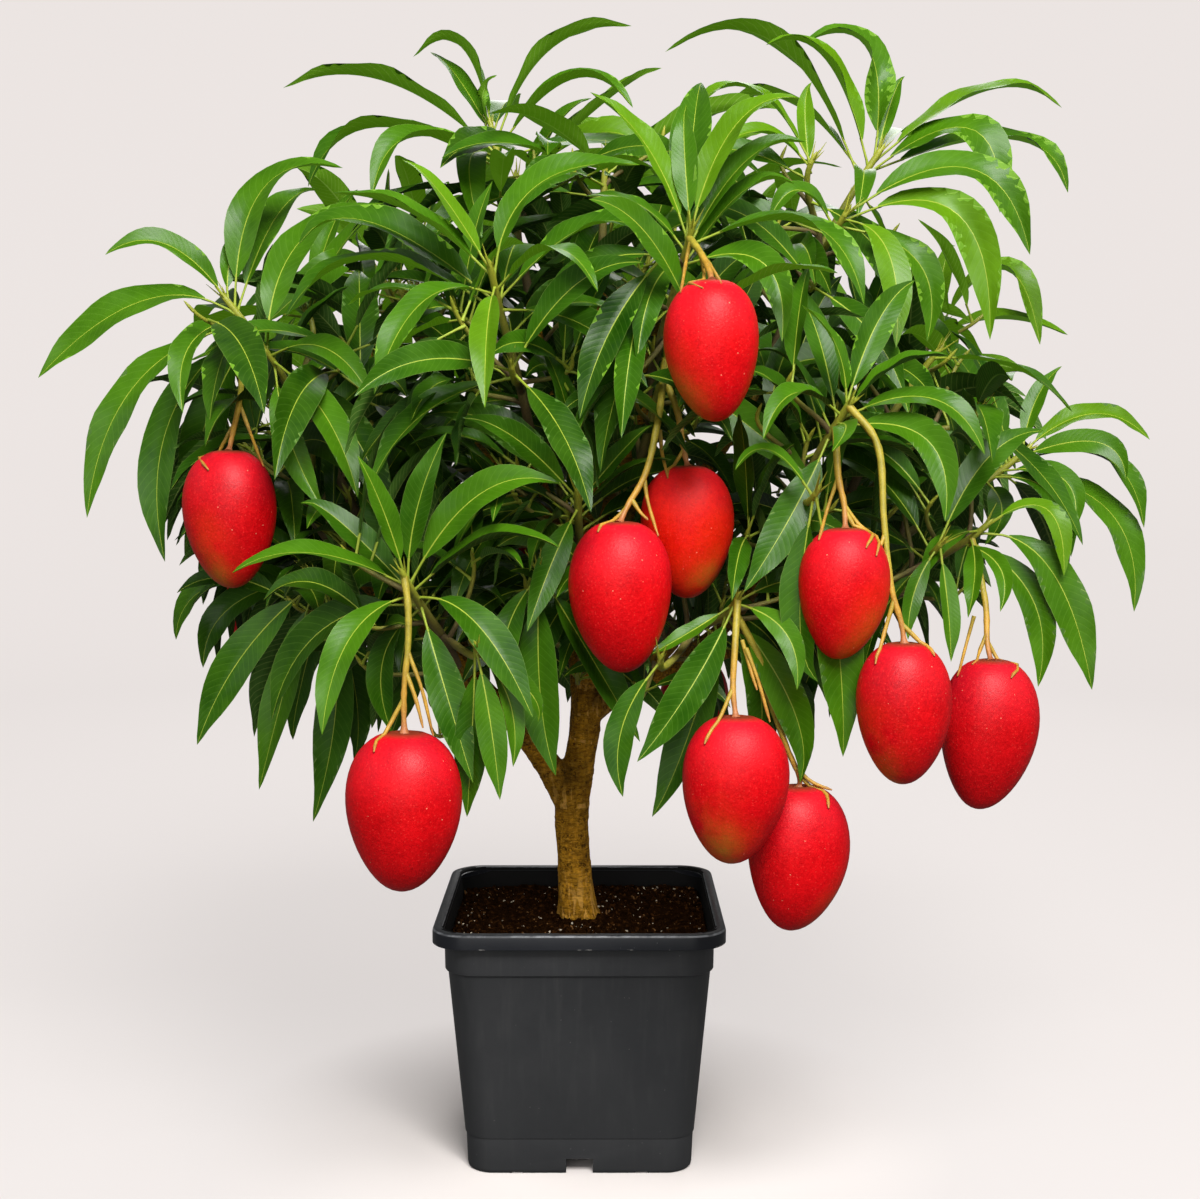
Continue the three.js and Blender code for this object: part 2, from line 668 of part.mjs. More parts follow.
function markShoots(shoots, owner) {
  for (const shoot of shoots) {
    for (const share of [0.4, 0.7, 1]) {
      shootMarks.push({ owner, point: shoot.curve.getPoint(share) });
    }
  }
}

function keepsToSpace(line, owner) {
  return line.every(({ point }) => {
    let own = Infinity;
    let other = Infinity;
    for (const mark of shootMarks) {
      const distance = mark.point.distanceTo(point);
      if (mark.owner === owner) {
        own = Math.min(own, distance);
      } else {
        other = Math.min(other, distance);
      }
    }
    return own - other < OVERHANG;
  });
}

// A leaf that would touch something is turned, lifted or shortened a little before it is given up.
// Each try is a turn about the shoot, a change of opening, both in radians, and a share of the length.
const TRIES = [
  [0, 0, 1], [0.3, 0, 1], [-0.3, 0, 1],
  [0, -0.25, 0.95], [0.6, 0, 0.95], [-0.6, 0, 0.95],
  [0, 0.25, 0.9], [0.3, 0, 0.75], [-0.3, 0, 0.75],
];

function growLeaf(plan, owner) {
  for (const [turn, open, size] of TRIES) {
    const tried = { ...plan, turn: plan.turn + turn, open: plan.open + open, length: plan.length * size };
    const line = leafLine(tried);
    if (keepsToSpace(line, owner)) {
      const solid = leafSolid(tried, line);
      if (staysClear(solid, owner)) {
        const blade = leafSolid(tried, line, LEAF_STALK_SHARE);
        if (!crossesOwn(solid, blade, owner)) {
          place(solid, owner, blade);
          return;
        }
      }
    }
  }
}

// ---------------------------------------------------------------- putting the tree together

const COLOURS = {
  pot: { color: 0x2b2d31, roughness: 0.5, metalness: 0 },
  soil: { color: 0x2a1b12, roughness: 1, metalness: 0 },
  wood: { color: 0x8a6232, roughness: 0.85, metalness: 0 },
  foliage: { color: 0x2f6f22, roughness: 0.45, metalness: 0 },
  foliageInFruit: { color: 0x4c6a22, roughness: 0.45, metalness: 0 },
};

const group = new THREE.Group();

function addNode(name, solid, look) {
  const mesh = new THREE.Mesh(toGeometry(solid), new THREE.MeshStandardMaterial(COLOURS[look]));
  mesh.name = name;
  group.add(mesh);
}

const pot = potSolid();
const soil = soilSolid();
addNode('pot', pot, 'pot');
addNode('soil', soil, 'soil');
place(pot, 'pot');
place(soil, 'soil');

addTrunk();
MASSES.forEach(addBough);
for (const [name, limb] of limbs) {
  addNode(name === 'trunk' ? 'trunk' : `bough_${name}`, limb.solid, 'wood');
  place(limb.solid, `limb_${name}`);
}

const shootsOf = new Map();
for (const mass of MASSES) {
  const shoots = growShoots(mass);
  shootsOf.set(mass.name, shoots);
  markShoots(shoots, mass.name);
  for (const shoot of shoots) {
    place(shootSolid(shoot), mass.name);
  }
  for (const fruit of FRUITS.filter((one) => one.mass === mass.name)) {
    const [body, stalk] = fruitSolids(fruit, shoots);
    place(body, mass.name);
    place(stalk, mass.name);
  }
}

const plansByRank = [];
MASSES.forEach((mass) => {
  shootsOf.get(mass.name).forEach((shoot, number) => {
    leafPlans(shoot, mass, shoot.leaves, number).forEach((plan) => {
      plansByRank.push({ plan, owner: mass.name });
    });
  });
});
plansByRank.sort((a, b) => a.plan.rank - b.plan.rank);
plansByRank.forEach(({ plan, owner }) => growLeaf(plan, owner));

for (const mass of MASSES) {
  const pieces = placed.filter((piece) => piece.owner === mass.name).map((piece) => piece.solid);
  const look = FRUITS.some((fruit) => fruit.mass === mass.name) ? 'foliageInFruit' : 'foliage';
  addNode(`foliage_${mass.name}`, mainBody(wasm.Manifold.union(pieces)), look);
}

export default group;
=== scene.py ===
# %% [markdown]
# # A young mango tree in fruit, growing in a nursery pot
#
# The solid model is the skeleton of this scene: a square plastic pot, a disc of soil, a trunk, two
# dozen boughs and two dozen masses of foliage. Here each of them gets its real surface. The tree is
# grown again by the same rule as the solids, so every leaf sits where a solid leaf sits, and then the
# rule is carried on to finer twigs and more leaves. Nothing is moved: all places come from the model.

import math

import bpy
import numpy as np
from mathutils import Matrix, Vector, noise
from mathutils.bvhtree import BVHTree
from mathutils.kdtree import KDTree


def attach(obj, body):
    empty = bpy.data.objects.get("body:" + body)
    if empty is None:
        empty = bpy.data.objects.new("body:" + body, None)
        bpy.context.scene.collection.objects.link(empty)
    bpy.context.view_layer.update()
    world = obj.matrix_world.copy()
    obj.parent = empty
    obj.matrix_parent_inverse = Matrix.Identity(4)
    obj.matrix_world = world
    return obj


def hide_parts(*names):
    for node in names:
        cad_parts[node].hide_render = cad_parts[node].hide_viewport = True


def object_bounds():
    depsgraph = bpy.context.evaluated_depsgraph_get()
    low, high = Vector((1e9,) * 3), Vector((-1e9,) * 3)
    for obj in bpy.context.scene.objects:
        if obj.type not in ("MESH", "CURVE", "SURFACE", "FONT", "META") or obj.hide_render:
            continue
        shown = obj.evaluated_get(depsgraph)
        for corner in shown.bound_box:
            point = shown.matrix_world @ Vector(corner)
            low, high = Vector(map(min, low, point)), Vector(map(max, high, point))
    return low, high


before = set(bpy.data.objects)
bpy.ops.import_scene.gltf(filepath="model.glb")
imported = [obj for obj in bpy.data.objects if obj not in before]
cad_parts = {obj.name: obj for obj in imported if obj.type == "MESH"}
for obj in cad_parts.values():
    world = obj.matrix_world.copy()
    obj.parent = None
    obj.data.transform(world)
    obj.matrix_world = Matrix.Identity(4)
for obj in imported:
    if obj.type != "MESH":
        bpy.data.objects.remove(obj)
solid_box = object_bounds()

# The tree is worked out in millimetres, as the solids are, and written to Blender in metres.
MM = 0.001
print("solid model:", len(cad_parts), "nodes, box", [round(v, 3) for v in (*solid_box[0], *solid_box[1])])

# %% [markdown]
# ## Camera and colours of the picture
#
# The camera stands a good arm's length and a half in front of the plant, at the height of the middle
# of its crown, and looks down a little. The picture keeps strong reds and greens as they are, so the
# plain display transform is used in place of Blender's softer one.

# %% Camera
CAMERA_PLACE = (0.0177, -1.5372, 0.6179)
CAMERA_DOWN = math.radians(4.83)
CAMERA_LENS = 51.8
CAMERA_SENSOR = 36.0

camera = bpy.data.objects.new("camera", bpy.data.cameras.new("camera"))
camera.data.lens = CAMERA_LENS
camera.data.sensor_width = CAMERA_SENSOR
camera.data.clip_start = 0.05
camera.location = CAMERA_PLACE
camera.rotation_euler = (math.pi / 2 - CAMERA_DOWN, 0, 0)
bpy.context.collection.objects.link(camera)
bpy.context.scene.camera = camera
bpy.context.scene.view_settings.view_transform = "Standard"
print("camera lens", CAMERA_LENS, "mm at", CAMERA_PLACE)

# %% [markdown]
# ## Short calls for node trees
#
# Every material is a small tree of nodes. These few helpers add a node, set or join its inputs and
# hand back a socket, so that a material reads from top to bottom.


# %% Node helpers
class Nodes:
    """A node tree with short calls that add nodes and join them."""

    def __init__(self, tree):
        self.tree = tree

    def add(self, kind, inputs=None, **settings):
        node = self.tree.nodes.new(kind)
        for name, value in settings.items():
            setattr(node, name, value)
        for name, value in (inputs or {}).items():
            self.set(node, name, value)
        return node

    def set(self, node, name, value):
        if isinstance(value, bpy.types.NodeSocket):
            self.tree.links.new(value, node.inputs[name])
        else:
            node.inputs[name].default_value = value

    def math(self, operation, a, b=0.0, c=0.0):
        node = self.add("ShaderNodeMath", {0: a, 1: b, 2: c}, operation=operation)
        return node.outputs[0]

    def ramp(self, value, low, high, start=0.0, end=1.0):
        names = {"Value": value, "From Min": low, "From Max": high, "To Min": start, "To Max": end}
        return self.add("ShaderNodeMapRange", names, clamp=True).outputs["Result"]

    def mix(self, share, first, second, blend="MIX"):
        node = self.add("ShaderNodeMix", {0: share, 6: first, 7: second}, data_type="RGBA", blend_type=blend)
        return node.outputs[2]

    def noise(self, place, scale, detail=3.0, roughness=0.55):
        names = {"Vector": place, "Scale": scale, "Detail": detail, "Roughness": roughness}
        return self.add("ShaderNodeTexNoise", names).outputs["Fac"]

    def group(self, name, inputs):
        node = self.add("ShaderNodeGroup", node_tree=bpy.data.node_groups[name])
        for key, value in inputs.items():
            self.set(node, key, value)
        return node.outputs


def rgb(red, green, blue):
    """A plain colour for a socket, in linear light."""
    return (red, green, blue, 1.0)


def new_group(name, inputs, outputs):
    """An empty shader group with float inputs (a vector where the default is None) and float outputs."""
    tree = bpy.data.node_groups.new(name, "ShaderNodeTree")
    for key, value in inputs.items():
        kind = "NodeSocketVector" if value is None else "NodeSocketFloat"
        socket = tree.interface.new_socket(key, in_out="INPUT", socket_type=kind)
        if value is not None:
            socket.default_value = value
    for key in outputs:
        tree.interface.new_socket(key, in_out="OUTPUT", socket_type="NodeSocketFloat")
    nodes = Nodes(tree)
    return nodes, nodes.add("NodeGroupInput").outputs, nodes.add("NodeGroupOutput")


def new_material(name):
    """A material with its Principled shader: returns the material, its nodes and the shader."""
    material = bpy.data.materials.new(name)
    material.use_nodes = True
    material.node_tree.nodes.clear()
    nodes = Nodes(material.node_tree)
    shader = nodes.add("ShaderNodeBsdfPrincipled")
    nodes.add("ShaderNodeOutputMaterial", {"Surface": shader.outputs[0]})
    return material, nodes, shader


def finish_material(nodes, shader, colour, roughness, height=None, strength=0.3, distance=0.0003):
    """Joins a colour, a roughness and a relief to the shader."""
    nodes.set(shader, "Base Color", colour)
    nodes.set(shader, "Roughness", roughness)
    if height is not None:
        names = {"Height": height, "Strength": strength, "Distance": distance}
        bump = nodes.add("ShaderNodeBump", names)
        nodes.set(shader, "Normal", bump.outputs[0])


# %% [markdown]
# ## Effects that several materials share
#
# *Mottle* is the uneven tone of anything grown or moulded: a broad cloud with a fine one over it.
# *Speckle* is a scatter of small round spots, such as the breathing pores of the fruit or the dust
# on the pot. Each is a group, built once and placed in a material with that material's own values.

# %% Shared effect groups
tree, given, result = new_group(
    "Mottle", {"Place": None, "Broad": 40.0, "Fine": 300.0, "Share": 0.4}, ["Tone"])
broad = tree.noise(given["Place"], given["Broad"], 2.0)
fine = tree.noise(given["Place"], given["Fine"], 4.0)
tone = tree.add("ShaderNodeMix", {0: given["Share"], 2: broad, 3: fine}, data_type="FLOAT")
tree.set(result, "Tone", tree.ramp(tone.outputs[0], 0.3, 0.7))

tree, given, result = new_group(
    "Speckle", {"Place": None, "Scale": 400.0, "Size": 0.25, "Kept": 0.6}, ["Mask"])
cells = tree.add("ShaderNodeTexVoronoi", {"Vector": given["Place"], "Scale": given["Scale"]})
spot = tree.math("LESS_THAN", cells.outputs["Distance"], given["Size"])
chance = tree.add("ShaderNodeSeparateColor", {0: cells.outputs["Color"]}).outputs[0]
kept = tree.math("LESS_THAN", chance, given["Kept"])
tree.set(result, "Mask", tree.math("MULTIPLY", spot, kept))
print("groups:", [g.name for g in bpy.data.node_groups])

# %% [markdown]
# ## Leaf greens
#
# A mango leaf is leathery and glossy above, paler and duller beneath, with a pale midrib and about
# twenty pairs of side veins that curve forward. New leaves are lighter and yellower, old ones a deep
# green; the greens also carry painted light on the top of the crown and painted shade inside it. Each
# leaf takes one of a few plain greens, and the veins follow the leaf's own map: its
# first number runs across the blade, its second from the stalk to the tip.

# %% Leaf materials
VEIN_PAIRS = 21.0
VEIN_LEAN = 0.105
# Besides a leaf's age, the lighter greens are painted light for leaves on top of the crown and the deeper ones painted
# shade for leaves inside it.
LEAF_GREENS = {
    "leaf_new": rgb(0.084, 0.196, 0.0022),
    "leaf_light": rgb(0.038, 0.122, 0.0016),
    "leaf_green": rgb(0.018, 0.074, 0.0010),
    "leaf_deep": rgb(0.008, 0.040, 0.0007),
    "leaf_shade": rgb(0.0026, 0.015, 0.0005),
}


def leaf_material(name, green):
    material, nodes, shader = new_material(name)
    leaf_map = nodes.add("ShaderNodeUVMap", uv_map="LeafMap").outputs[0]
    place = nodes.add("ShaderNodeTexCoord").outputs["Object"]
    parts = nodes.add("ShaderNodeSeparateXYZ", {0: leaf_map})
    across = nodes.math("MULTIPLY", nodes.math("ABSOLUTE", nodes.math("SUBTRACT", parts.outputs[0], 0.5)), 2.0)
    lean = nodes.math("MULTIPLY", nodes.math("POWER", across, 1.35), VEIN_LEAN)
    along = nodes.math("MULTIPLY", nodes.math("SUBTRACT", parts.outputs[1], lean), VEIN_PAIRS)
    vein = nodes.math("PINGPONG", along, 0.5)
    thin_vein = nodes.ramp(vein, 0.0, 0.07, 1.0, 0.0)
    tone = nodes.group("Mottle", {"Place": place, "Broad": 22.0, "Fine": 160.0, "Share": 0.25})["Tone"]
    darker = nodes.mix(0.35, green, rgb(0.003, 0.022, 0.001))
    lighter = nodes.mix(0.20, green, rgb(0.12, 0.28, 0.01))
    blade = nodes.mix(tone, darker, lighter)
    rib_side = nodes.ramp(across, 0.0, 0.35, 0.30, 0.0)
    blade = nodes.mix(rib_side, blade, lighter)
    blade = nodes.mix(nodes.math("MULTIPLY", thin_vein, 0.17), blade, rgb(0.16, 0.32, 0.04))
    # A thin pale line along the margin is painted light: the light that shines through the thin edge of the blade.
    edge = nodes.ramp(across, 0.97, 0.99, 0.0, 0.30)
    blade = nodes.mix(edge, blade, rgb(0.22, 0.33, 0.07))
    puff = nodes.math("SINE", nodes.math("MULTIPLY", vein, math.pi))
    finish_material(nodes, shader, blade, nodes.ramp(tone, 0.0, 1.0, 0.28, 0.38), puff, 0.13, 0.0003)
    shader.inputs["Specular IOR Level"].default_value = 0.15
    return material


for name, green in LEAF_GREENS.items():
    leaf_material(name, green)
print("leaf greens:", len(LEAF_GREENS))


# %% Underside, midrib and twig materials
def leaf_under_material(name, dark, light, glow):
    """The dull paler side; the glow is painted light for the light that shines through a leaf in the open."""
    material, nodes, shader = new_material(name)
    leaf_map = nodes.add("ShaderNodeUVMap", uv_map="LeafMap").outputs[0]
    place = nodes.add("ShaderNodeTexCoord").outputs["Object"]
    parts = nodes.add("ShaderNodeSeparateXYZ", {0: leaf_map})
    across = nodes.math("MULTIPLY", nodes.math("ABSOLUTE", nodes.math("SUBTRACT", parts.outputs[0], 0.5)), 2.0)
    lean = nodes.math("MULTIPLY", nodes.math("POWER", across, 1.35), VEIN_LEAN)
    along = nodes.math("MULTIPLY", nodes.math("SUBTRACT", parts.outputs[1], lean), VEIN_PAIRS)
    thin_vein = nodes.ramp(nodes.math("PINGPONG", along, 0.5), 0.0, 0.12, 1.0, 0.0)
    rib = nodes.ramp(across, 0.03, 0.07, 1.0, 0.0)
    tone = nodes.group("Mottle", {"Place": place, "Broad": 30.0, "Fine": 500.0, "Share": 0.4})["Tone"]
    blade = nodes.mix(tone, dark, light)
    lines = nodes.math("MAXIMUM", nodes.math("MULTIPLY", thin_vein, 0.5), nodes.math("MULTIPLY", rib, 0.9))
    blade = nodes.mix(lines, blade, rgb(0.24, 0.34, 0.08))
    finish_material(nodes, shader, blade, nodes.ramp(tone, 0.0, 1.0, 0.52, 0.62), lines, 0.4, 0.0006)
    shader.inputs["Specular IOR Level"].default_value = 0.15
    shader.inputs["Emission Color"].default_value = glow
    shader.inputs["Emission Strength"].default_value = 1.0
    material.cycles.emission_sampling = "NONE"


def leaf_rib_material():
    material, nodes, shader = new_material("leaf_midrib")
    place = nodes.add("ShaderNodeTexCoord").outputs["Object"]
    tone = nodes.group("Mottle", {"Place": place, "Broad": 60.0, "Fine": 600.0, "Share": 0.4})["Tone"]
    colour = nodes.mix(tone, rgb(0.17, 0.245, 0.016), rgb(0.33, 0.39, 0.042))
    finish_material(nodes, shader, colour, nodes.ramp(tone, 0.0, 1.0, 0.42, 0.54), tone, 0.15, 0.0002)
    shader.inputs["Specular IOR Level"].default_value = 0.25


def twig_material():
    material, nodes, shader = new_material("green_twig")
    place = nodes.add("ShaderNodeTexCoord").outputs["Object"]
    woody = nodes.add("ShaderNodeAttribute", attribute_name="woody").outputs["Fac"]
    tone = nodes.group("Mottle", {"Place": place, "Broad": 90.0, "Fine": 900.0, "Share": 0.5})["Tone"]
    young = nodes.mix(tone, rgb(0.17, 0.205, 0.014), rgb(0.36, 0.36, 0.030))
    old = nodes.mix(tone, rgb(0.060, 0.045, 0.014), rgb(0.150, 0.105, 0.035))
    colour = nodes.mix(woody, young, old)
    finish_material(nodes, shader, colour, nodes.ramp(woody, 0.0, 1.0, 0.42, 0.75), tone, 0.5, 0.0005)


leaf_under_material("leaf_underside", rgb(0.032, 0.090, 0.010), rgb(0.060, 0.140, 0.018), rgb(0, 0, 0))
# The underside of leaves in the open is a lit copy: lighter colours and a glow paint the light that shines through
# them.
leaf_under_material("leaf_underside_open", rgb(0.060, 0.150, 0.008), rgb(0.100, 0.205, 0.012), rgb(0.038, 0.098, 0.002))
leaf_rib_material()
twig_material()
print("materials so far:", len(bpy.data.materials))

# %% [markdown]
# ## Fruit skin, fruit stalks and bark
#
# The ripe fruit is crimson with scarlet patches, fine pale pores and a waxy bloom that makes a broad
# soft highlight; on the shoulders the bloom is painted as a pinkish tint where the highlight falls.
# Low on one side it stays orange or green, where the sun did not reach. A stalk is
# yellow-green where it leaves the shoot and orange-brown where it meets the fruit. The bark of a
# young mango is smooth and ochre-brown, with fine cracks round the limb and small dark pores.


# %% Fruit, stalk and bark materials
def fruit_material(name, red, bright):
    material, nodes, shader = new_material(name)
    place = nodes.add("ShaderNodeTexCoord").outputs["Object"]
    pale_side = nodes.add("ShaderNodeAttribute", attribute_name="pale_side").outputs["Fac"]
    crown = nodes.add("ShaderNodeAttribute", attribute_name="shoulder").outputs["Fac"]
    tone = nodes.group("Mottle", {"Place": place, "Broad": 32.0, "Fine": 230.0, "Share": 0.42})["Tone"]
    skin = nodes.mix(tone, red, bright)
    warm = nodes.mix(nodes.ramp(pale_side, 0.6, 1.0), rgb(0.56, 0.035, 0.004), rgb(0.36, 0.13, 0.010))
    cloud = nodes.noise(place, 26.0, 3.0)
    turn = nodes.math("MULTIPLY", nodes.ramp(pale_side, 0.25, 1.0), nodes.ramp(cloud, 0.36, 0.66))
    skin = nodes.mix(turn, skin, warm)
    grain = nodes.noise(place, 480.0, 3.0, 0.7)
    skin = nodes.mix(nodes.ramp(grain, 0.50, 0.66, 0.0, 0.30), skin, rgb(0.80, 0.010, 0.014))
    skin = nodes.mix(nodes.ramp(grain, 0.34, 0.48, 0.24, 0.0), skin, rgb(0.24, 0.0, 0.002))
    pores = nodes.group("Speckle", {"Place": place, "Scale": 430.0, "Size": 0.24, "Kept": 0.45})["Mask"]
    skin = nodes.mix(nodes.math("MULTIPLY", pores, 0.24), skin, rgb(0.88, 0.060, 0.045))
    dots = nodes.group("Speckle", {"Place": place, "Scale": 190.0, "Size": 0.10, "Kept": 0.16})["Mask"]
    skin = nodes.mix(nodes.math("MULTIPLY", dots, 0.42), skin, rgb(0.85, 0.40, 0.24))
    # On the shoulders a pinkish tint is painted, partly the waxy bloom and partly the tint of the highlight that falls
    # there.
    bloom_and_highlight_tint = nodes.math("MULTIPLY", nodes.ramp(crown, 0.0, 1.0, 0.0, 0.30), nodes.ramp(cloud, 0.3, 0.7, 0.4, 1.0))
    skin = nodes.mix(bloom_and_highlight_tint, skin, rgb(0.52, 0.022, 0.060))
    seat = nodes.ramp(crown, 0.930, 0.985, 0.0, 0.85)
    skin = nodes.mix(seat, skin, rgb(0.15, 0.035, 0.012))
    finish_material(nodes, shader, skin, nodes.ramp(tone, 0.0, 1.0, 0.38, 0.50), grain, 0.34, 0.0009)
    shader.inputs["Specular IOR Level"].default_value = 0.155


def stalk_material():
    material, nodes, shader = new_material("fruit_stalk")
    place = nodes.add("ShaderNodeTexCoord").outputs["Object"]
    ripe = nodes.add("ShaderNodeAttribute", attribute_name="woody").outputs["Fac"]
    tone = nodes.group("Mottle", {"Place": place, "Broad": 110.0, "Fine": 900.0, "Share": 0.5})["Tone"]
    green = nodes.mix(tone, rgb(0.17, 0.155, 0.010), rgb(0.46, 0.36, 0.030))
    ochre = nodes.mix(tone, rgb(0.26, 0.130, 0.010), rgb(0.55, 0.30, 0.032))
    russet = nodes.mix(tone, rgb(0.22, 0.055, 0.022), rgb(0.46, 0.155, 0.060))
    colour = nodes.mix(nodes.ramp(ripe, 0.1, 0.55), green, ochre)
    colour = nodes.mix(nodes.ramp(ripe, 0.7, 1.0), colour, russet)
    finish_material(nodes, shader, colour, nodes.ramp(tone, 0.0, 1.0, 0.45, 0.6), tone, 0.5, 0.0004)


def bark_material():
    material, nodes, shader = new_material("young_bark")
    place = nodes.add("ShaderNodeTexCoord").outputs["Object"]
    along = nodes.add("ShaderNodeAttribute", attribute_name="along").outputs["Fac"]
    girth = nodes.add("ShaderNodeAttribute", attribute_name="girth").outputs["Fac"]
    crotch = nodes.add("ShaderNodeAttribute", attribute_name="crotch").outputs["Fac"]
    tone = nodes.group("Mottle", {"Place": place, "Broad": 75.0, "Fine": 330.0, "Share": 0.55})["Tone"]
    bark = nodes.mix(tone, rgb(0.290, 0.120, 0.004), rgb(0.800, 0.390, 0.026))
    long_place = nodes.add("ShaderNodeMapping", {"Vector": place, "Scale": (1.0, 1.0, 0.16)}).outputs[0]
    streak = nodes.ramp(nodes.noise(long_place, 330.0, 3.0), 0.44, 0.66)
    bark = nodes.mix(nodes.math("MULTIPLY", streak, 0.45), bark, rgb(0.150, 0.062, 0.006))
    warp = nodes.noise(place, 130.0, 3.0)
    rings = nodes.math("ADD", nodes.math("MULTIPLY", along, 165.0), nodes.math("MULTIPLY", warp, 3.4))
    crack = nodes.ramp(nodes.math("PINGPONG", rings, 0.5), 0.02, 0.11, 1.0, 0.0)
    broken = nodes.math("MULTIPLY", crack, nodes.ramp(nodes.noise(place, 120.0, 3.0), 0.43, 0.52))
    bark = nodes.mix(nodes.math("MULTIPLY", broken, 0.85), bark, rgb(0.030, 0.010, 0.002))
    flat_place = nodes.add("ShaderNodeMapping", {"Vector": place, "Scale": (1.0, 1.0, 3.4)}).outputs[0]
    wrinkle = nodes.ramp(nodes.noise(flat_place, 150.0, 4.0, 0.65), 0.50, 0.60)
    bark = nodes.mix(nodes.math("MULTIPLY", wrinkle, 0.50), bark, rgb(0.115, 0.046, 0.003))
    ridge = nodes.ramp(nodes.noise(flat_place, 210.0, 3.0, 0.6), 0.56, 0.66)
    bark = nodes.mix(nodes.math("MULTIPLY", ridge, 0.50), bark, rgb(0.86, 0.46, 0.06))
    pores = nodes.group("Speckle", {"Place": place, "Scale": 210.0, "Size": 0.20, "Kept": 0.22})["Mask"]
    bark = nodes.mix(nodes.math("MULTIPLY", pores, 0.60), bark, rgb(0.040, 0.016, 0.004))
    blotch = nodes.ramp(nodes.noise(place, 46.0, 3.0), 0.50, 0.68)
    bark = nodes.mix(nodes.math("MULTIPLY", blotch, 0.40), bark, rgb(0.120, 0.064, 0.008))
    flake = nodes.ramp(nodes.noise(long_place, 240.0, 3.0), 0.50, 0.58)
    foot = nodes.math("MULTIPLY", nodes.ramp(along, 0.010, 0.050, 0.75, 0.0), flake)
    bark = nodes.mix(foot, bark, rgb(0.92, 0.50, 0.10))
    green = nodes.math("MULTIPLY", nodes.ramp(girth, 0.0045, 0.0095, 0.75, 0.0), nodes.ramp(warp, 0.3, 0.6))
    bark = nodes.mix(green, bark, rgb(0.075, 0.085, 0.020))
    # Darker towards each crotch, strongest just above where a bough leaves its limb.
    crotch_darkening = nodes.math("MULTIPLY", nodes.ramp(crotch, 0.15, 0.9), 0.88)
    bark = nodes.mix(crotch_darkening, bark, rgb(0.014, 0.013, 0.004))
    dents = nodes.math("ADD", broken, nodes.math("MULTIPLY", nodes.math("ADD", streak, wrinkle), 0.45))
    lumps = nodes.math("SUBTRACT", tone, dents)
    finish_material(nodes, shader, bark, nodes.ramp(tone, 0.0, 1.0, 0.62, 0.8), lumps, 0.85, 0.0014)
    shader.inputs["Specular IOR Level"].default_value = 0.10


fruit_material("fruit_crimson", rgb(0.40, 0.0002, 0.0016), rgb(0.64, 0.0008, 0.0034))
fruit_material("fruit_scarlet", rgb(0.54, 0.0014, 0.0004), rgb(0.80, 0.0130, 0.0010))
fruit_material("fruit_deep_red", rgb(0.34, 0.0004, 0.0018), rgb(0.58, 0.0012, 0.0036))
stalk_material()
bark_material()
print("materials so far:", len(bpy.data.materials))

# %% [markdown]
# ## Pot plastic, soil and perlite
#
# The pot is moulded charcoal plastic with a satin skin and a little dust, painted darker towards its
# foot as shade. Its rim is darker, with a painted highlight round its outer top edge, a top face
# painted paler, partly scuffs and partly light, and scuffs under the lip. Its inside is painted in deep shade.
# Potting mix is nearly black-brown, with bits of bark and white grains of perlite in it.


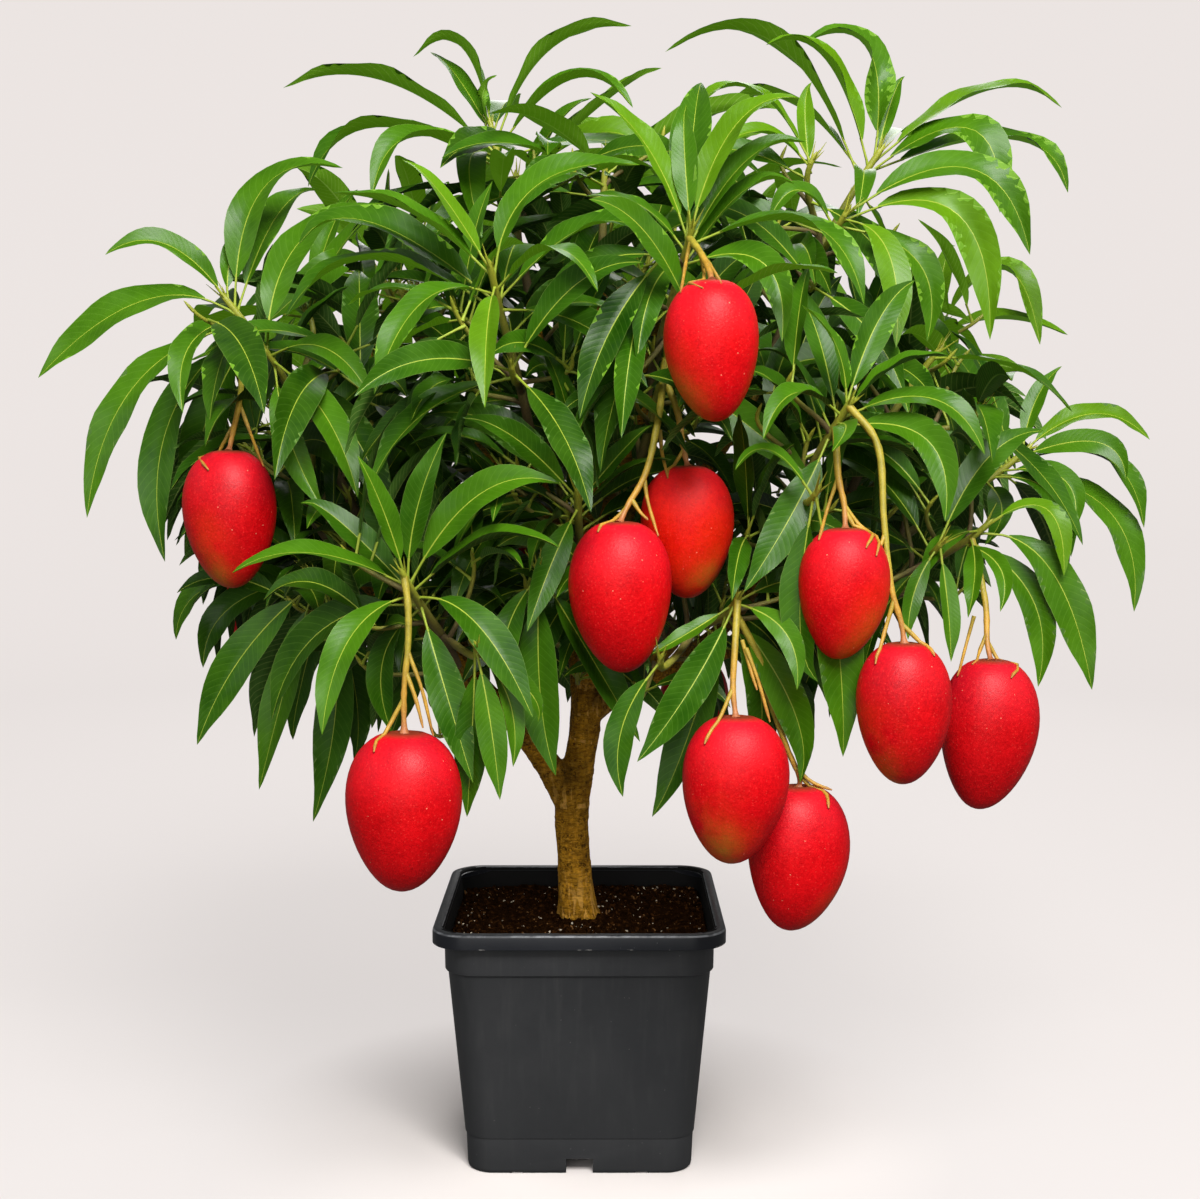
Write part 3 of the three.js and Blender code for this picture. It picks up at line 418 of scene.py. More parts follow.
# %% Pot, soil and perlite materials
def pot_material():
    material, nodes, shader = new_material("charcoal_plastic")
    place = nodes.add("ShaderNodeTexCoord").outputs["Object"]
    height = nodes.add("ShaderNodeSeparateXYZ", {0: place}).outputs[2]
    tone = nodes.group("Mottle", {"Place": place, "Broad": 16.0, "Fine": 160.0, "Share": 0.3})["Tone"]
    plastic = nodes.mix(tone, rgb(0.030, 0.0312, 0.0335), rgb(0.040, 0.041, 0.043))
    long_place = nodes.add("ShaderNodeMapping", {"Vector": place, "Scale": (60.0, 60.0, 5.0)}).outputs[0]
    streak = nodes.ramp(nodes.noise(long_place, 2.2, 4.0), 0.52, 0.74)
    plastic = nodes.mix(nodes.math("MULTIPLY", streak, 0.12), plastic, rgb(0.11, 0.107, 0.105))
    low_dust = nodes.math("MULTIPLY", nodes.ramp(height, 0.0, 0.02, 0.06, 0.0), tone)
    plastic = nodes.mix(low_dust, plastic, rgb(0.15, 0.14, 0.13))
    # Darker towards the foot: painted shade that holds back the front light on the low part of the pot.
    plastic = nodes.mix(nodes.ramp(height, 0.0, 0.13, 0.75, 0.0), plastic, rgb(0.019, 0.0195, 0.021))
    rim = nodes.ramp(height, 0.2005, 0.2045)
    plastic = nodes.mix(nodes.math("MULTIPLY", rim, 0.92), plastic, rgb(0.0078, 0.0090, 0.0128))
    # A thin pale line round the rounded outer top edge of the rim is a painted highlight, broken up by noise.
    painted_highlight_breaks = nodes.ramp(nodes.noise(place, 95.0, 4.0), 0.42, 0.60)
    edge = nodes.math("MULTIPLY", nodes.ramp(height, 0.2150, 0.2154), nodes.ramp(height, 0.2164, 0.2168, 1.0, 0.0))
    edge = nodes.math("MULTIPLY", edge, nodes.ramp(painted_highlight_breaks, 0.0, 1.0, 0.25, 0.80))
    plastic = nodes.mix(edge, plastic, rgb(0.27, 0.28, 0.30))
    # The rim's top face is painted paler: partly scuffs and partly painted light where the top faces the lamps.
    pores = nodes.ramp(nodes.noise(place, 420.0, 4.0), 0.40, 0.62)
    scuffs_and_top_light = nodes.math("MULTIPLY", nodes.ramp(height, 0.2166, 0.2169), nodes.ramp(pores, 0.0, 1.0, 0.25, 0.65))
    plastic = nodes.mix(scuffs_and_top_light, plastic, rgb(0.078, 0.082, 0.087))
    under = nodes.math("MULTIPLY", nodes.ramp(height, 0.2018, 0.2030), nodes.ramp(height, 0.2048, 0.2056, 1.0, 0.0))
    scuff = nodes.math("MULTIPLY", under, nodes.ramp(nodes.noise(place, 75.0, 5.0), 0.60, 0.66))
    plastic = nodes.mix(nodes.math("MULTIPLY", scuff, 0.6), plastic, rgb(0.34, 0.33, 0.31))
    specks = nodes.group("Speckle", {"Place": place, "Scale": 260.0, "Size": 0.10, "Kept": 0.05})["Mask"]
    plastic = nodes.mix(nodes.math("MULTIPLY", specks, 0.30), plastic, rgb(0.32, 0.31, 0.30))
    gloss = nodes.math("SUBTRACT", nodes.ramp(tone, 0.0, 1.0, 0.46, 0.56), nodes.math("MULTIPLY", rim, 0.18))
    grain = nodes.noise(place, 1500.0, 2.0)
    finish_material(nodes, shader, plastic, gloss, grain, 0.10, 0.0002)
    shader.inputs["Specular IOR Level"].default_value = 0.38


def pot_inside_material():
    material, nodes, shader = new_material("pot_inside")
    place = nodes.add("ShaderNodeTexCoord").outputs["Object"]
    tone = nodes.group("Mottle", {"Place": place, "Broad": 60.0, "Fine": 500.0, "Share": 0.5})["Tone"]
    # The inside wall is painted nearly black: painted shade for the inside of the pot.
    painted_inside_shade = nodes.mix(tone, rgb(0.0028, 0.0028, 0.0030), rgb(0.0075, 0.0070, 0.0065))
    finish_material(nodes, shader, painted_inside_shade, nodes.ramp(tone, 0.0, 1.0, 0.62, 0.8), tone, 0.2, 0.0003)
    shader.inputs["Specular IOR Level"].default_value = 0.15


def soil_material():
    material, nodes, shader = new_material("soil_mix")
    place = nodes.add("ShaderNodeTexCoord").outputs["Object"]
    tone = nodes.group("Mottle", {"Place": place, "Broad": 150.0, "Fine": 900.0, "Share": 0.5})["Tone"]
    soil = nodes.mix(tone, rgb(0.0012, 0.0005, 0.0002), rgb(0.036, 0.0145, 0.0045))
    warm = nodes.ramp(nodes.noise(place, 190.0, 2.0), 0.56, 0.66)
    soil = nodes.mix(nodes.math("MULTIPLY", warm, 0.65), soil, rgb(0.095, 0.036, 0.010))
    finish_material(nodes, shader, soil, nodes.ramp(tone, 0.0, 1.0, 0.85, 1.0), tone, 0.8, 0.0012)
    shader.inputs["Specular IOR Level"].default_value = 0.0


def grain_material(name, dark, light):
    material, nodes, shader = new_material(name)
    place = nodes.add("ShaderNodeTexCoord").outputs["Object"]
    tone = nodes.group("Mottle", {"Place": place, "Broad": 230.0, "Fine": 1500.0, "Share": 0.4})["Tone"]
    finish_material(nodes, shader, nodes.mix(tone, dark, light), nodes.ramp(tone, 0.0, 1.0, 0.65, 0.85), tone, 0.5, 0.0004)
    shader.inputs["Specular IOR Level"].default_value = 0.1


pot_material()
soil_material()
pot_inside_material()
grain_material("perlite", rgb(0.80, 0.64, 0.44), rgb(1.0, 0.93, 0.78))
grain_material("bark_bits", rgb(0.08, 0.034, 0.009), rgb(0.36, 0.180, 0.065))
print("materials:", len(bpy.data.materials))

# %% [markdown]
# ## From arrays to pieces
#
# Leaves and fruit are many small closed shapes, so they are worked out as arrays of numbers and
# handed to Blender in one go. A piece then rides on the only body and hides the solid nodes that it
# stands for.


# %% Mesh helpers
def mesh_from(name, points, face_sets):
    """A mesh from points in millimetres and arrays of faces; the faces of one array are alike."""
    sizes = np.concatenate([np.full(len(faces), faces.shape[1]) for faces in face_sets])
    corners = np.concatenate([faces.reshape(-1) for faces in face_sets]).astype(np.int32)
    mesh = bpy.data.meshes.new(name)
    mesh.vertices.add(len(points))
    mesh.vertices.foreach_set("co", (points * MM).astype(np.float32).ravel())
    mesh.loops.add(len(corners))
    mesh.loops.foreach_set("vertex_index", corners)
    mesh.polygons.add(len(sizes))
    mesh.polygons.foreach_set("loop_start", (np.cumsum(sizes) - sizes).astype(np.int32))
    mesh.update(calc_edges=True)
    return mesh


def set_faces(mesh, materials, slots=None, smooth=True):
    for material in materials:
        mesh.materials.append(bpy.data.materials[material])
    if slots is not None:
        mesh.polygons.foreach_set("material_index", np.asarray(slots, np.int32))
    mesh.polygons.foreach_set("use_smooth", np.full(len(mesh.polygons), smooth))


def set_map(mesh, name, places):
    """A UV map from one place per vertex."""
    corners = np.zeros(len(mesh.loops), np.int32)
    mesh.loops.foreach_get("vertex_index", corners)
    mesh.uv_layers.new(name=name).uv.foreach_set("vector", places[corners].astype(np.float32).ravel())


def set_values(mesh, name, values):
    mesh.attributes.new(name, "FLOAT", "POINT").data.foreach_set("value", np.asarray(values, np.float32))


def add_piece(name, mesh, slot, *nodes):
    """Puts a finished mesh in the scene as a piece that stands for these solid nodes."""
    piece = bpy.data.objects.new(name, mesh)
    bpy.context.collection.objects.link(piece)
    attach(piece, "root")
    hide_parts(*nodes)
    return piece


def triangle_count(mesh):
    return sum(len(face.vertices) - 2 for face in mesh.polygons)


# %% [markdown]
# ## The growth rule
#
# These are the same numbers and steps as in the solid model's source: a repeatable stream of random
# numbers, limbs as smooth sweeps, shoots that leave a bough's tip, and leaves that leave a shoot
# one golden angle apart and bend down under their own weight.

# %% Sizes of the tree
TRUNK_STATIONS = [
    (200.3, 1, 0, 20.5), (207, -0.5, 0, 18.2), (216, -2, 0, 17), (232, -4, 0, 15.6),
    (256, -6, 0, 14.8), (284, -8, 0, 15), (308, -7.5, 0, 16), (328, -4, 0, 15.4),
    (348, 0, 0, 14), (372, 4.5, 0, 13.6), (400, 7, 0, 12.2), (440, 8, 4, 10.4),
    (490, 5, 8, 9), (550, 8, 6, 7.8), (620, 14, -2, 6.6), (690, 16, -12, 5.6),
]
ROOT_LOBES = 5
ROOT_LOBE_DEPTH = 0.14
BOUGH_REACH = 0.62
BOUGH_SAG = 0.05
BOUGH_BASE_SHARE = 0.74
BOUGH_TIP_RADIUS = 4.2
GAP = 0.3
STEM_STEPS = 3
SIDE_SHOOT_LENGTH = 96
GOLDEN_ANGLE = math.radians(137.508)
LEAF_LENGTH = 176
LEAF_WIDTH_SHARE = 0.25
LEAF_STALK_SHARE = 0.16
LEAF_ROLL = 1.3
LEAF_STEPS = 12
LEAF_SPACING = 3.4
LEAVES_ON_LEADER = 10
LEAVES_ON_SIDE = 7
OVERHANG = 72
TRIES = [
    (0, 0, 1), (0.3, 0, 1), (-0.3, 0, 1),
    (0, -0.25, 0.95), (0.6, 0, 0.95), (-0.6, 0, 0.95),
    (0, 0.25, 0.9), (0.3, 0, 0.75), (-0.3, 0, 0.75),
]

# Each mass: its name, the limb that its bough leaves and where, the tips of its known shoots, how
# many more side shoots grow by the rule, its leaf size and the seed of its growth.
MASSES = [
    ("left_high", "trunk", 0.21, [(-292, -90, 745), (-249, -150, 700)], 1, 1.1, 339),
    ("right_high", "trunk", 0.375, [(380, -60, 620)], 1, 1, 302),
    ("front_mid", "trunk", 0.43, [(1, -230, 588)], 1, 0.85, 185),
    ("back_mid", "trunk", 0.33, [(-30, 300, 640)], 2, 1, 121),
    ("front_high_left", "trunk", 0.56, [(-62, -262, 752)], 1, 0.9, 403),
    ("front_high_mid", "trunk", 0.66, [(85, -250, 782)], 1, 0.95, 454),
    ("top_right", "trunk", 0.52, [(252, -60, 870), (212, -150, 807)], 1, 1.08, 272),
    ("top_left", "trunk", 0.74, [(-76, -20, 898)], 1, 1.1, 152),
    ("top_mid", "trunk", 0.93, [(22, -50, 862)], 0, 1.05, 575),
    ("back_high_left", "trunk", 0.62, [(-200, 130, 800)], 2, 1, 162),
    ("back_top", "trunk", 0.84, [(110, 160, 840)], 1, 1, 446),
    ("front_centre", "front_mid", 0.4, [(68, -200, 690)], 0, 0.9, 457),
    ("front_low_right", "front_mid", 0.22, [(119, -270, 511)], 1, 0.88, 244),
    ("left_low", "left_high", 0.34, [(-222, -70, 515)], 2, 0.98, 323),
    ("left_mid", "left_high", 0.6, [(-272, -70, 615)], 1, 1.02, 143),
    ("front_low_left", "left_high", 0.24, [(-124, -290, 529)], 1, 0.88, 121),
    ("back_left", "left_high", 0.5, [(-300, 130, 640)], 2, 1, 27),
    ("back_low_left", "left_high", 0.28, [(-160, 250, 510)], 1, 1, 457),
    ("right_low", "right_high", 0.62, [(325, -160, 560)], 1, 0.92, 182),
    ("right_mid", "right_high", 0.5, [(292, -120, 700)], 1, 0.92, 379),
    ("front_right", "right_high", 0.36, [(199, -270, 653)], 1, 0.88, 185),
    ("right_back", "right_high", 0.56, [(340, 130, 735)], 1, 1, 207),
    ("back_right", "right_high", 0.3, [(250, 250, 600)], 2, 1, 427),
    ("back_low_right", "back_mid", 0.3, [(110, 270, 480)], 1, 1, 212),
]

# Each fruit: its mass, centre, width, height, skin, how far its foot leans sideways and which way
# its pale side faces, in degrees round from the right.
FRUITS = [
    ("left_high", (-271, -190, 567), 72, 108, "fruit_deep_red", 1, 215),
    ("front_low_left", (-124, -300, 359), 85, 118, "fruit_crimson", -2, 60),
    ("front_high_mid", (95, -330, 689), 67, 98, "fruit_crimson", 2, 190),
    ("front_centre", (84, -230, 559), 70, 101, "fruit_scarlet", 0, 330),
    ("front_centre", (32, -284, 514), 75, 111, "fruit_crimson", 2, 120),
    ("front_right", (195, -290, 517), 67, 96, "fruit_crimson", -3, 330),
    ("front_right", (237, -300, 431), 69, 104, "fruit_deep_red", 0, 200),
    ("right_low", (320, -210, 401), 75, 118, "fruit_deep_red", -5, 100),
    ("front_low_right", (116, -300, 375), 77, 109, "fruit_crimson", -2, 225),
    ("front_low_right", (168, -250, 313), 77, 112, "fruit_crimson", -4, 20),
    ("back_mid", (-50, 345, 500), 73, 108, "fruit_crimson", 2, 90),
    ("back_left", (-320, 170, 470), 72, 106, "fruit_deep_red", -2, 140),
    ("back_right", (270, 300, 450), 74, 110, "fruit_scarlet", 3, 40),
    ("back_low_right", (120, 310, 345), 75, 110, "fruit_crimson", -3, 100),
    ("back_high_left", (-230, 190, 660), 68, 102, "fruit_crimson", 2, 160),
]
print(len(MASSES), "masses,", len(FRUITS), "fruit")

# %% Vectors, random numbers and sweeps
UP = np.array((0.0, 0.0, 1.0))


def vec(*parts):
    return np.array(parts, float)


def unit(a):
    return a / np.linalg.norm(a)


def square_to(a, b):
    """The part of a that stands square to the unit direction b."""
    return a - b * a.dot(b)


def level_side(way):
    """A unit vector square to the way, as near to level as it can be."""
    side = np.cross(way, UP)
    length = np.linalg.norm(side)
    return vec(1, 0, 0) if length < 0.05 else side / length


def turned(a, axis, angle):
    """a turned about a unit axis."""
    return (a * math.cos(angle) + np.cross(axis, a) * math.sin(angle)
            + axis * axis.dot(a) * (1 - math.cos(angle)))


def number_stream(seed):
    """A repeatable stream of numbers between 0 and 1."""
    state = (seed * 7919 + 104729) % 2147483647
    while True:
        state = (state * 48271) % 2147483647
        yield state / 2147483647


class Sweep:
    """A cubic curve that leaves one place in a given direction and arrives at another in one."""

    def __init__(self, start, start_way, end, end_way, pull=0.36):
        reach = pull * np.linalg.norm(end - start)
        self.knots = (start, start + start_way * reach, end - end_way * reach, end)

    def point(self, share):
        a, b, c, d = self.knots
        rest = 1 - share
        return rest**3 * a + 3 * rest * rest * share * b + 3 * rest * share * share * c + share**3 * d

    def way(self, share):
        return unit(self.point(min(share + 1e-4, 1)) - self.point(max(share - 1e-4, 0)))

    def length(self):
        marks = np.array([self.point(i / 200) for i in range(201)])
        return np.linalg.norm(np.diff(marks, axis=0), axis=1).sum()


# %% Limbs
class Limb:
    """A limb answers where its middle line is, which way it runs and how thick it is, 0 root to 1 tip."""

    def __init__(self, look_up, sweep=None):
        self.look_up = look_up
        self.sweep = sweep


def trunk_look_up(share):
    stations = TRUNK_STATIONS
    height = stations[0][0] + share * (stations[-1][0] - stations[0][0])
    row = 0
    while row + 2 < len(stations) and stations[row + 1][0] < height:
        row += 1
    low, high = stations[row], stations[row + 1]
    part = (height - low[0]) / (high[0] - low[0])
    start, end = vec(low[1], low[2], low[0]), vec(high[1], high[2], high[0])
    return start + part * (end - start), unit(end - start), low[3] + part * (high[3] - low[3])


def grow_bough(parent, at, goal):
    """A bough grows out of its parent's middle line towards its mass and stops short of it."""
    root, root_way, root_radius = parent.look_up(at)
    length = np.linalg.norm(goal - root)
    tip = root + BOUGH_REACH * (goal - root) - UP * BOUGH_SAG * length
    start_way = unit(unit(tip - root) + 0.35 * root_way)
    end_way = unit(unit(goal - tip) + 0.3 * UP)
    sweep = Sweep(root, start_way, tip, end_way)
    base = max(root_radius * BOUGH_BASE_SHARE, BOUGH_TIP_RADIUS + 0.8)

    def look_up(share):
        return sweep.point(share), sweep.way(share), base + (BOUGH_TIP_RADIUS - base) * share**0.8

    return Limb(look_up, sweep)


limbs = {"trunk": Limb(trunk_look_up)}
for name, parent, at, tips, more, leaf, seed in MASSES:
    limbs[name] = grow_bough(limbs[parent], at, vec(*tips[0]))
print("limbs:", len(limbs))


# %% Shoots
class Shoot:
    """A leafy shoot: its curve, its radii at root and tip, how many leaves the solids give it."""

    def __init__(self, sweep, radii, leaves, turn):
        self.sweep, self.radii, self.leaves, self.turn = sweep, radii, leaves, turn
        self.length = sweep.length()

    def built_place(self, share):
        """A place on the shoot as the solids have it, straight from frame to frame."""
        row = min(math.floor(share * STEM_STEPS), STEM_STEPS - 1)
        low, high = self.sweep.point(row / STEM_STEPS), self.sweep.point((row + 1) / STEM_STEPS)
        return low + (high - low) * (share * STEM_STEPS - row)


def shoot_axis(tip):
    """Which way a shoot's tip points: up, and outward more the further out it stands."""
    return unit(vec(tip[0] / 470, tip[1] / 400, 0.78))


def sideways(way, angle):
    side = level_side(way)
    return side * math.cos(angle) + np.cross(way, side) * math.sin(angle)


def grow_shoots(name, tips, more, seed):
    """The leader of a mass, then its side shoots."""
    draw = number_stream(seed)
    start, start_way, _ = limbs[name].look_up(1)
    start = start + start_way * (GAP + 0.05)
    leader_tip = vec(*tips[0])
    leader_sweep = Sweep(start, start_way, leader_tip, shoot_axis(leader_tip), 0.3)
    leader = Shoot(leader_sweep, (4.2, 2.7), LEAVES_ON_LEADER, next(draw) * 2 * math.pi)
    shoots = [leader]
    first_turn = next(draw) * 2 * math.pi
    for i in range(len(tips) - 1 + more):
        share = 0.3 + 0.22 * i
        root = leader.built_place(share)
        way = leader.sweep.way(share)
        spread = first_turn + i * GOLDEN_ANGLE + 0.5 * (next(draw) - 0.5)
        reach = SIDE_SHOOT_LENGTH * (0.85 + 0.3 * next(draw))
        if i + 1 < len(tips):
            tip = vec(*tips[i + 1])
        else:
            tip = root + unit(way + 0.25 * UP + 1.25 * sideways(way, spread)) * reach
        start_way = unit(way + unit(tip - root))
        sweep = Sweep(root, start_way, tip, shoot_axis(tip), 0.3)
        shoots.append(Shoot(sweep, (3.4, 2.4), LEAVES_ON_SIDE, next(draw) * 2 * math.pi))
    return shoots


shoots_of = {row[0]: grow_shoots(row[0], row[3], row[4], row[6]) for row in MASSES}
print("shoots:", sum(len(shoots) for shoots in shoots_of.values()))


# %% Leaf plans and leaf lines
def leaf_plans(shoot, mass, leaf, seed, count, first_rank=0):
    """The leaves of one shoot, youngest first: where each is rooted and how it lies."""
    draw = number_stream(seed)
    height = shoot.sweep.point(1)[2]
    limpness = min(max(1.15 + (height - 520) * (0.75 - 1.15) / (880 - 520), 0.75), 1.2)
    plans = []
    for i in range(count):
        u1, u2, u3, u4, u5 = (next(draw) for _ in range(5))
        age = i / (LEAVES_ON_LEADER - 1)
        share = max(0.12, 1 - (3 + LEAF_SPACING * i + 0.15 * i * i) / shoot.length)
        plans.append({
            "mass": mass,
            "rank": first_rank + i,
            "root": shoot.built_place(share),
            "axis": shoot.sweep.way(share),
            "turn": shoot.turn + i * GOLDEN_ANGLE + 0.4 * (u1 - 0.5),
            "open": math.radians(38 + 50 * min(1, age) ** 0.7 + 14 * (u2 - 0.5)),
            "length": LEAF_LENGTH * leaf * (0.74 + 0.26 * min(1, i / 4)) * (0.92 + 0.16 * u3),
            "droop": limpness * (1.15 + 0.95 * min(1, age) + 0.4 * (u4 - 0.5)),
            "roll": LEAF_ROLL * (u5 - 0.5),
        })
    return plans


def leaf_line(plan):
    """The middle line of a leaf: points, ways and faces, from its root to its tip."""
    axis = plan["axis"]
    outward = sideways(axis, plan["turn"])
    way = unit(axis * math.cos(plan["open"]) + outward * math.sin(plan["open"]))
    face = unit(square_to(0.6 * axis + 0.5 * UP, way))
    face = turned(face, way, plan["roll"])
    point = plan["root"]
    points, ways, faces = [point], [way], [face]
    for i in range(LEAF_STEPS):
        bend = plan["droop"] * (0.35 + 1.3 * i / LEAF_STEPS) / LEAF_STEPS
        way = unit(way - UP * bend)
        face = unit(square_to(face, way))
        point = point + way * plan["length"] / LEAF_STEPS
        points.append(point)
        ways.append(way)
        faces.append(face)
    return np.array(points), np.array(ways), np.array(faces)


# %% [markdown]
# ## Leaves that are known one by one
#
# The leaves of the front and upper whorls make the plant's outline and its character, so they are
# not left to chance. For each of them the table gives where the middle and the tip of its midrib
# fall in the picture frame, which is 1200 wide, counted right and down, and how far its tip leans
# towards the viewer, in hundreds of millimetres. A leaf leaves its shoot at the next older place of
# the growth rule, passes its middle and ends in its tip, so it sits on its shoot from every side.

# %% Known leaves
FRAME_WIDTH, FRAME_HEIGHT = 1200, 1199
KNOWN_SPACING = 4.4
KNOWN_LEAVES = {
    ("left_high", 0): [
        (233, 252, 262, 216, -0.2), (168, 245, 105, 255, 0.3), (262, 190, 343, 168, -0.2),
        (145, 300, 38, 378, 0.3), (190, 345, 183, 413, 0.8), (135, 385, 87, 518, 0.3),
        (168, 425, 165, 562, 0.3), (205, 425, 190, 512, -0.2),
    ],
    ("left_high", 1): [
        (297, 245, 385, 203, -0.3), (325, 348, 372, 400, 0.5), (325, 415, 358, 498, 0.8),
        (290, 440, 325, 512, 0.6),
    ],
    ("left_high", 2): [(340, 262, 268, 322, 0.2), (360, 225, 430, 208, 0.0)],
    ("front_high_left", 0): [
        (438, 190, 402, 160, -0.1), (412, 212, 333, 193, 0.1), (535, 187, 640, 165, 0.0),
        (487, 330, 485, 408, 0.9), (552, 248, 598, 292, 0.7), (425, 300, 374, 395, 0.6),
        (592, 224, 658, 250, 0.2), (370, 222, 298, 246, -0.3), (583, 325, 648, 388, 0.5),
        (372, 258, 285, 318, -0.2),
    ],
    ("front_mid", 0): [
        (566, 405, 535, 335, 0.1), (515, 438, 462, 418, 0.4), (625, 448, 652, 425, 0.3),
        (553, 560, 527, 632, 0.6), (630, 467, 672, 460, 0.2),
    ],
    ("front_mid", 1): [(600, 672, 640, 742, 0.0), (540, 690, 556, 776, 0.1), (505, 640, 518, 706, 0.3)],
    ("front_low_left", 0): [
        (383, 510, 357, 455, 0.3), (418, 505, 447, 432, 0.2), (480, 494, 561, 484, 0.3),
        (312, 553, 232, 573, 0.4), (490, 538, 560, 548, 0.4), (352, 635, 322, 735, 0.7),
        (475, 622, 533, 718, 0.5), (338, 520, 300, 503, -0.1), (440, 672, 473, 783, 0.4),
        (383, 660, 392, 733, -0.2),
    ],
    ("front_low_left", 1): [
        (490, 720, 500, 800, 0.1), (472, 735, 467, 817, -0.1), (509, 700, 513, 767, 0.1),
        (528, 690, 538, 722, -0.1),
    ],
    ("left_low", 1): [
        (287, 680, 259, 790, 0.1), (245, 652, 197, 745, 0.1), (337, 690, 313, 822, 0.0),
        (400, 640, 388, 742, -0.3), (355, 690, 354, 762, -0.2),
    ],
    ("left_low", 0): [(232, 606, 203, 668, 0.0), (213, 585, 176, 640, -0.2), (300, 690, 293, 740, -0.3)],
    ("front_low_right", 0): [
        (692, 686, 637, 762, 0.4), (785, 632, 797, 690, 0.4), (690, 632, 648, 656, 0.2),
        (793, 708, 800, 783, 0.0), (685, 745, 652, 817, 0.0), (760, 690, 752, 760, -0.2),
    ],
    ("front_low_right", 1): [(622, 728, 623, 797, 0.1)],
    ("front_high_mid", 0): [
        (684, 138, 687, 104, -0.2), (735, 126, 800, 98, 0.0), (648, 148, 590, 92, 0.0),
        (805, 222, 864, 305, 0.3), (640, 205, 586, 196, 0.1), (745, 162, 806, 142, -0.2),
        (653, 288, 637, 362, 0.6), (762, 262, 782, 342, 0.5), (745, 190, 795, 184, -0.2),
    ],
    ("front_centre", 0): [(750, 427, 813, 480, 0.4), (715, 385, 752, 356, 0.0)],
    ("top_left", 0): [
        (483, 92, 497, 75, 0.2), (462, 46, 413, 57, 0.0), (458, 78, 430, 52, -0.2),
        (548, 50, 632, 26, 0.0), (572, 78, 633, 108, 0.2), (385, 80, 283, 88, 0.0),
        (470, 160, 482, 238, 0.9), (412, 136, 372, 197, 0.5), (375, 126, 308, 187, 0.0),
    ],
    ("top_left", 1): [(612, 95, 662, 68, -0.3), (608, 132, 662, 186, 0.2), (560, 120, 592, 98, -0.2)],
    ("top_right", 0): [
        (893, 97, 905, 76, -0.2), (868, 48, 803, 42, 0.0), (985, 90, 1062, 108, 0.0),
        (826, 58, 766, 45, 0.2), (1010, 138, 1068, 193, -0.2), (968, 128, 1000, 213, 0.4),
        (775, 42, 665, 52, -0.1), (864, 172, 857, 218, 0.8),
    ],
    ("top_right", 1): [
        (968, 168, 1030, 255, 0.1), (888, 252, 896, 348, 0.6), (955, 212, 990, 340, 0.3),
        (918, 262, 927, 342, 0.1), (800, 190, 768, 222, 0.2),
    ],
    ("top_right", 2): [(752, 88, 688, 112, 0.0), (765, 132, 716, 152, 0.2), (805, 110, 812, 82, -0.3)],
    ("right_back", 0): [(1002, 268, 1040, 345, 0.1), (1000, 318, 1068, 335, -0.1), (945, 262, 955, 246, -0.4)],
    ("front_right", 0): [
        (836, 345, 802, 305, 0.2), (894, 366, 948, 355, 0.2), (795, 393, 763, 440, 0.6),
        (930, 398, 985, 455, 0.3), (846, 428, 832, 452, 0.9), (925, 438, 945, 522, 0.5),
        (792, 362, 752, 352, 0.0), (793, 512, 744, 592, 0.4),
    ],
    ("front_right", 1): [(838, 640, 843, 757, -0.1), (800, 620, 818, 682, 0.0), (770, 450, 735, 470, 0.1)],
    ("right_high", 0): [
        (1036, 400, 1062, 366, -0.2), (1090, 414, 1150, 440, 0.0), (1096, 442, 1126, 480, 0.4),
        (985, 375, 950, 330, 0.0), (1102, 456, 1144, 528, 0.2), (965, 385, 925, 352, 0.1),
        (1062, 478, 1074, 531, 0.5), (1106, 508, 1134, 612, 0.2), (1050, 492, 1071, 557, 0.4),
        (1002, 510, 985, 545, 0.9),
    ],
    ("right_low", 0): [
        (1045, 508, 1064, 576, 0.2), (945, 542, 920, 582, 0.6), (1048, 566, 1092, 690, 0.2),
        (975, 570, 968, 618, 0.6), (1032, 598, 1038, 687, 0.2), (1000, 568, 1000, 612, 0.5),
    ],
    ("right_low", 1): [(948, 608, 951, 662, 0.2), (915, 590, 908, 640, 0.2)],
}


def seen_at(right, down, depth):
    """The place that shows at this point of the frame and stands this far behind the trunk."""
    focal = CAMERA_LENS / CAMERA_SENSOR * FRAME_WIDTH
    across, above = (right - FRAME_WIDTH / 2) / focal, (FRAME_HEIGHT / 2 - down) / focal
    sink, level = math.sin(CAMERA_DOWN), math.cos(CAMERA_DOWN)
    ray = vec(across, level + above * sink, above * level - sink)
    return eye + ray * (depth - eye[1]) / ray[1]


def bent_line(root, middle, tip, viewer, lean, roll):
    """A leaf line through three places, in equal steps. Its face looks up where the leaf is level
    and turns to the open side, where the light is, as the leaf droops."""
    knee = 2 * middle - (root + tip) / 2
    shares = np.linspace(0, 1, 80)[:, None]
    curve = (1 - shares) ** 2 * root + 2 * (1 - shares) * shares * knee + shares**2 * tip
    travelled = np.concatenate([[0], np.cumsum(np.linalg.norm(np.diff(curve, axis=0), axis=1))])
    steps = np.linspace(0, travelled[-1], LEAF_STEPS + 1)
    points = np.stack([np.interp(steps, travelled, curve[:, k]) for k in range(3)], 1)
    ways = np.gradient(points, axis=0)
    ways /= np.linalg.norm(ways, axis=1, keepdims=True)
    low_share = np.interp(root[2], (560, 850), (0.42, 0.10))
    faces = []
    for way in ways:
        open_side = low_share + 0.5 * max(lean, 0) + 0.45 * max(0, -way[2]) ** 2
        face = unit(square_to(0.62 * UP + open_side * viewer, way))
        faces.append(turned(face, way, roll))
    return (points, ways, np.array(faces)), travelled[-1]


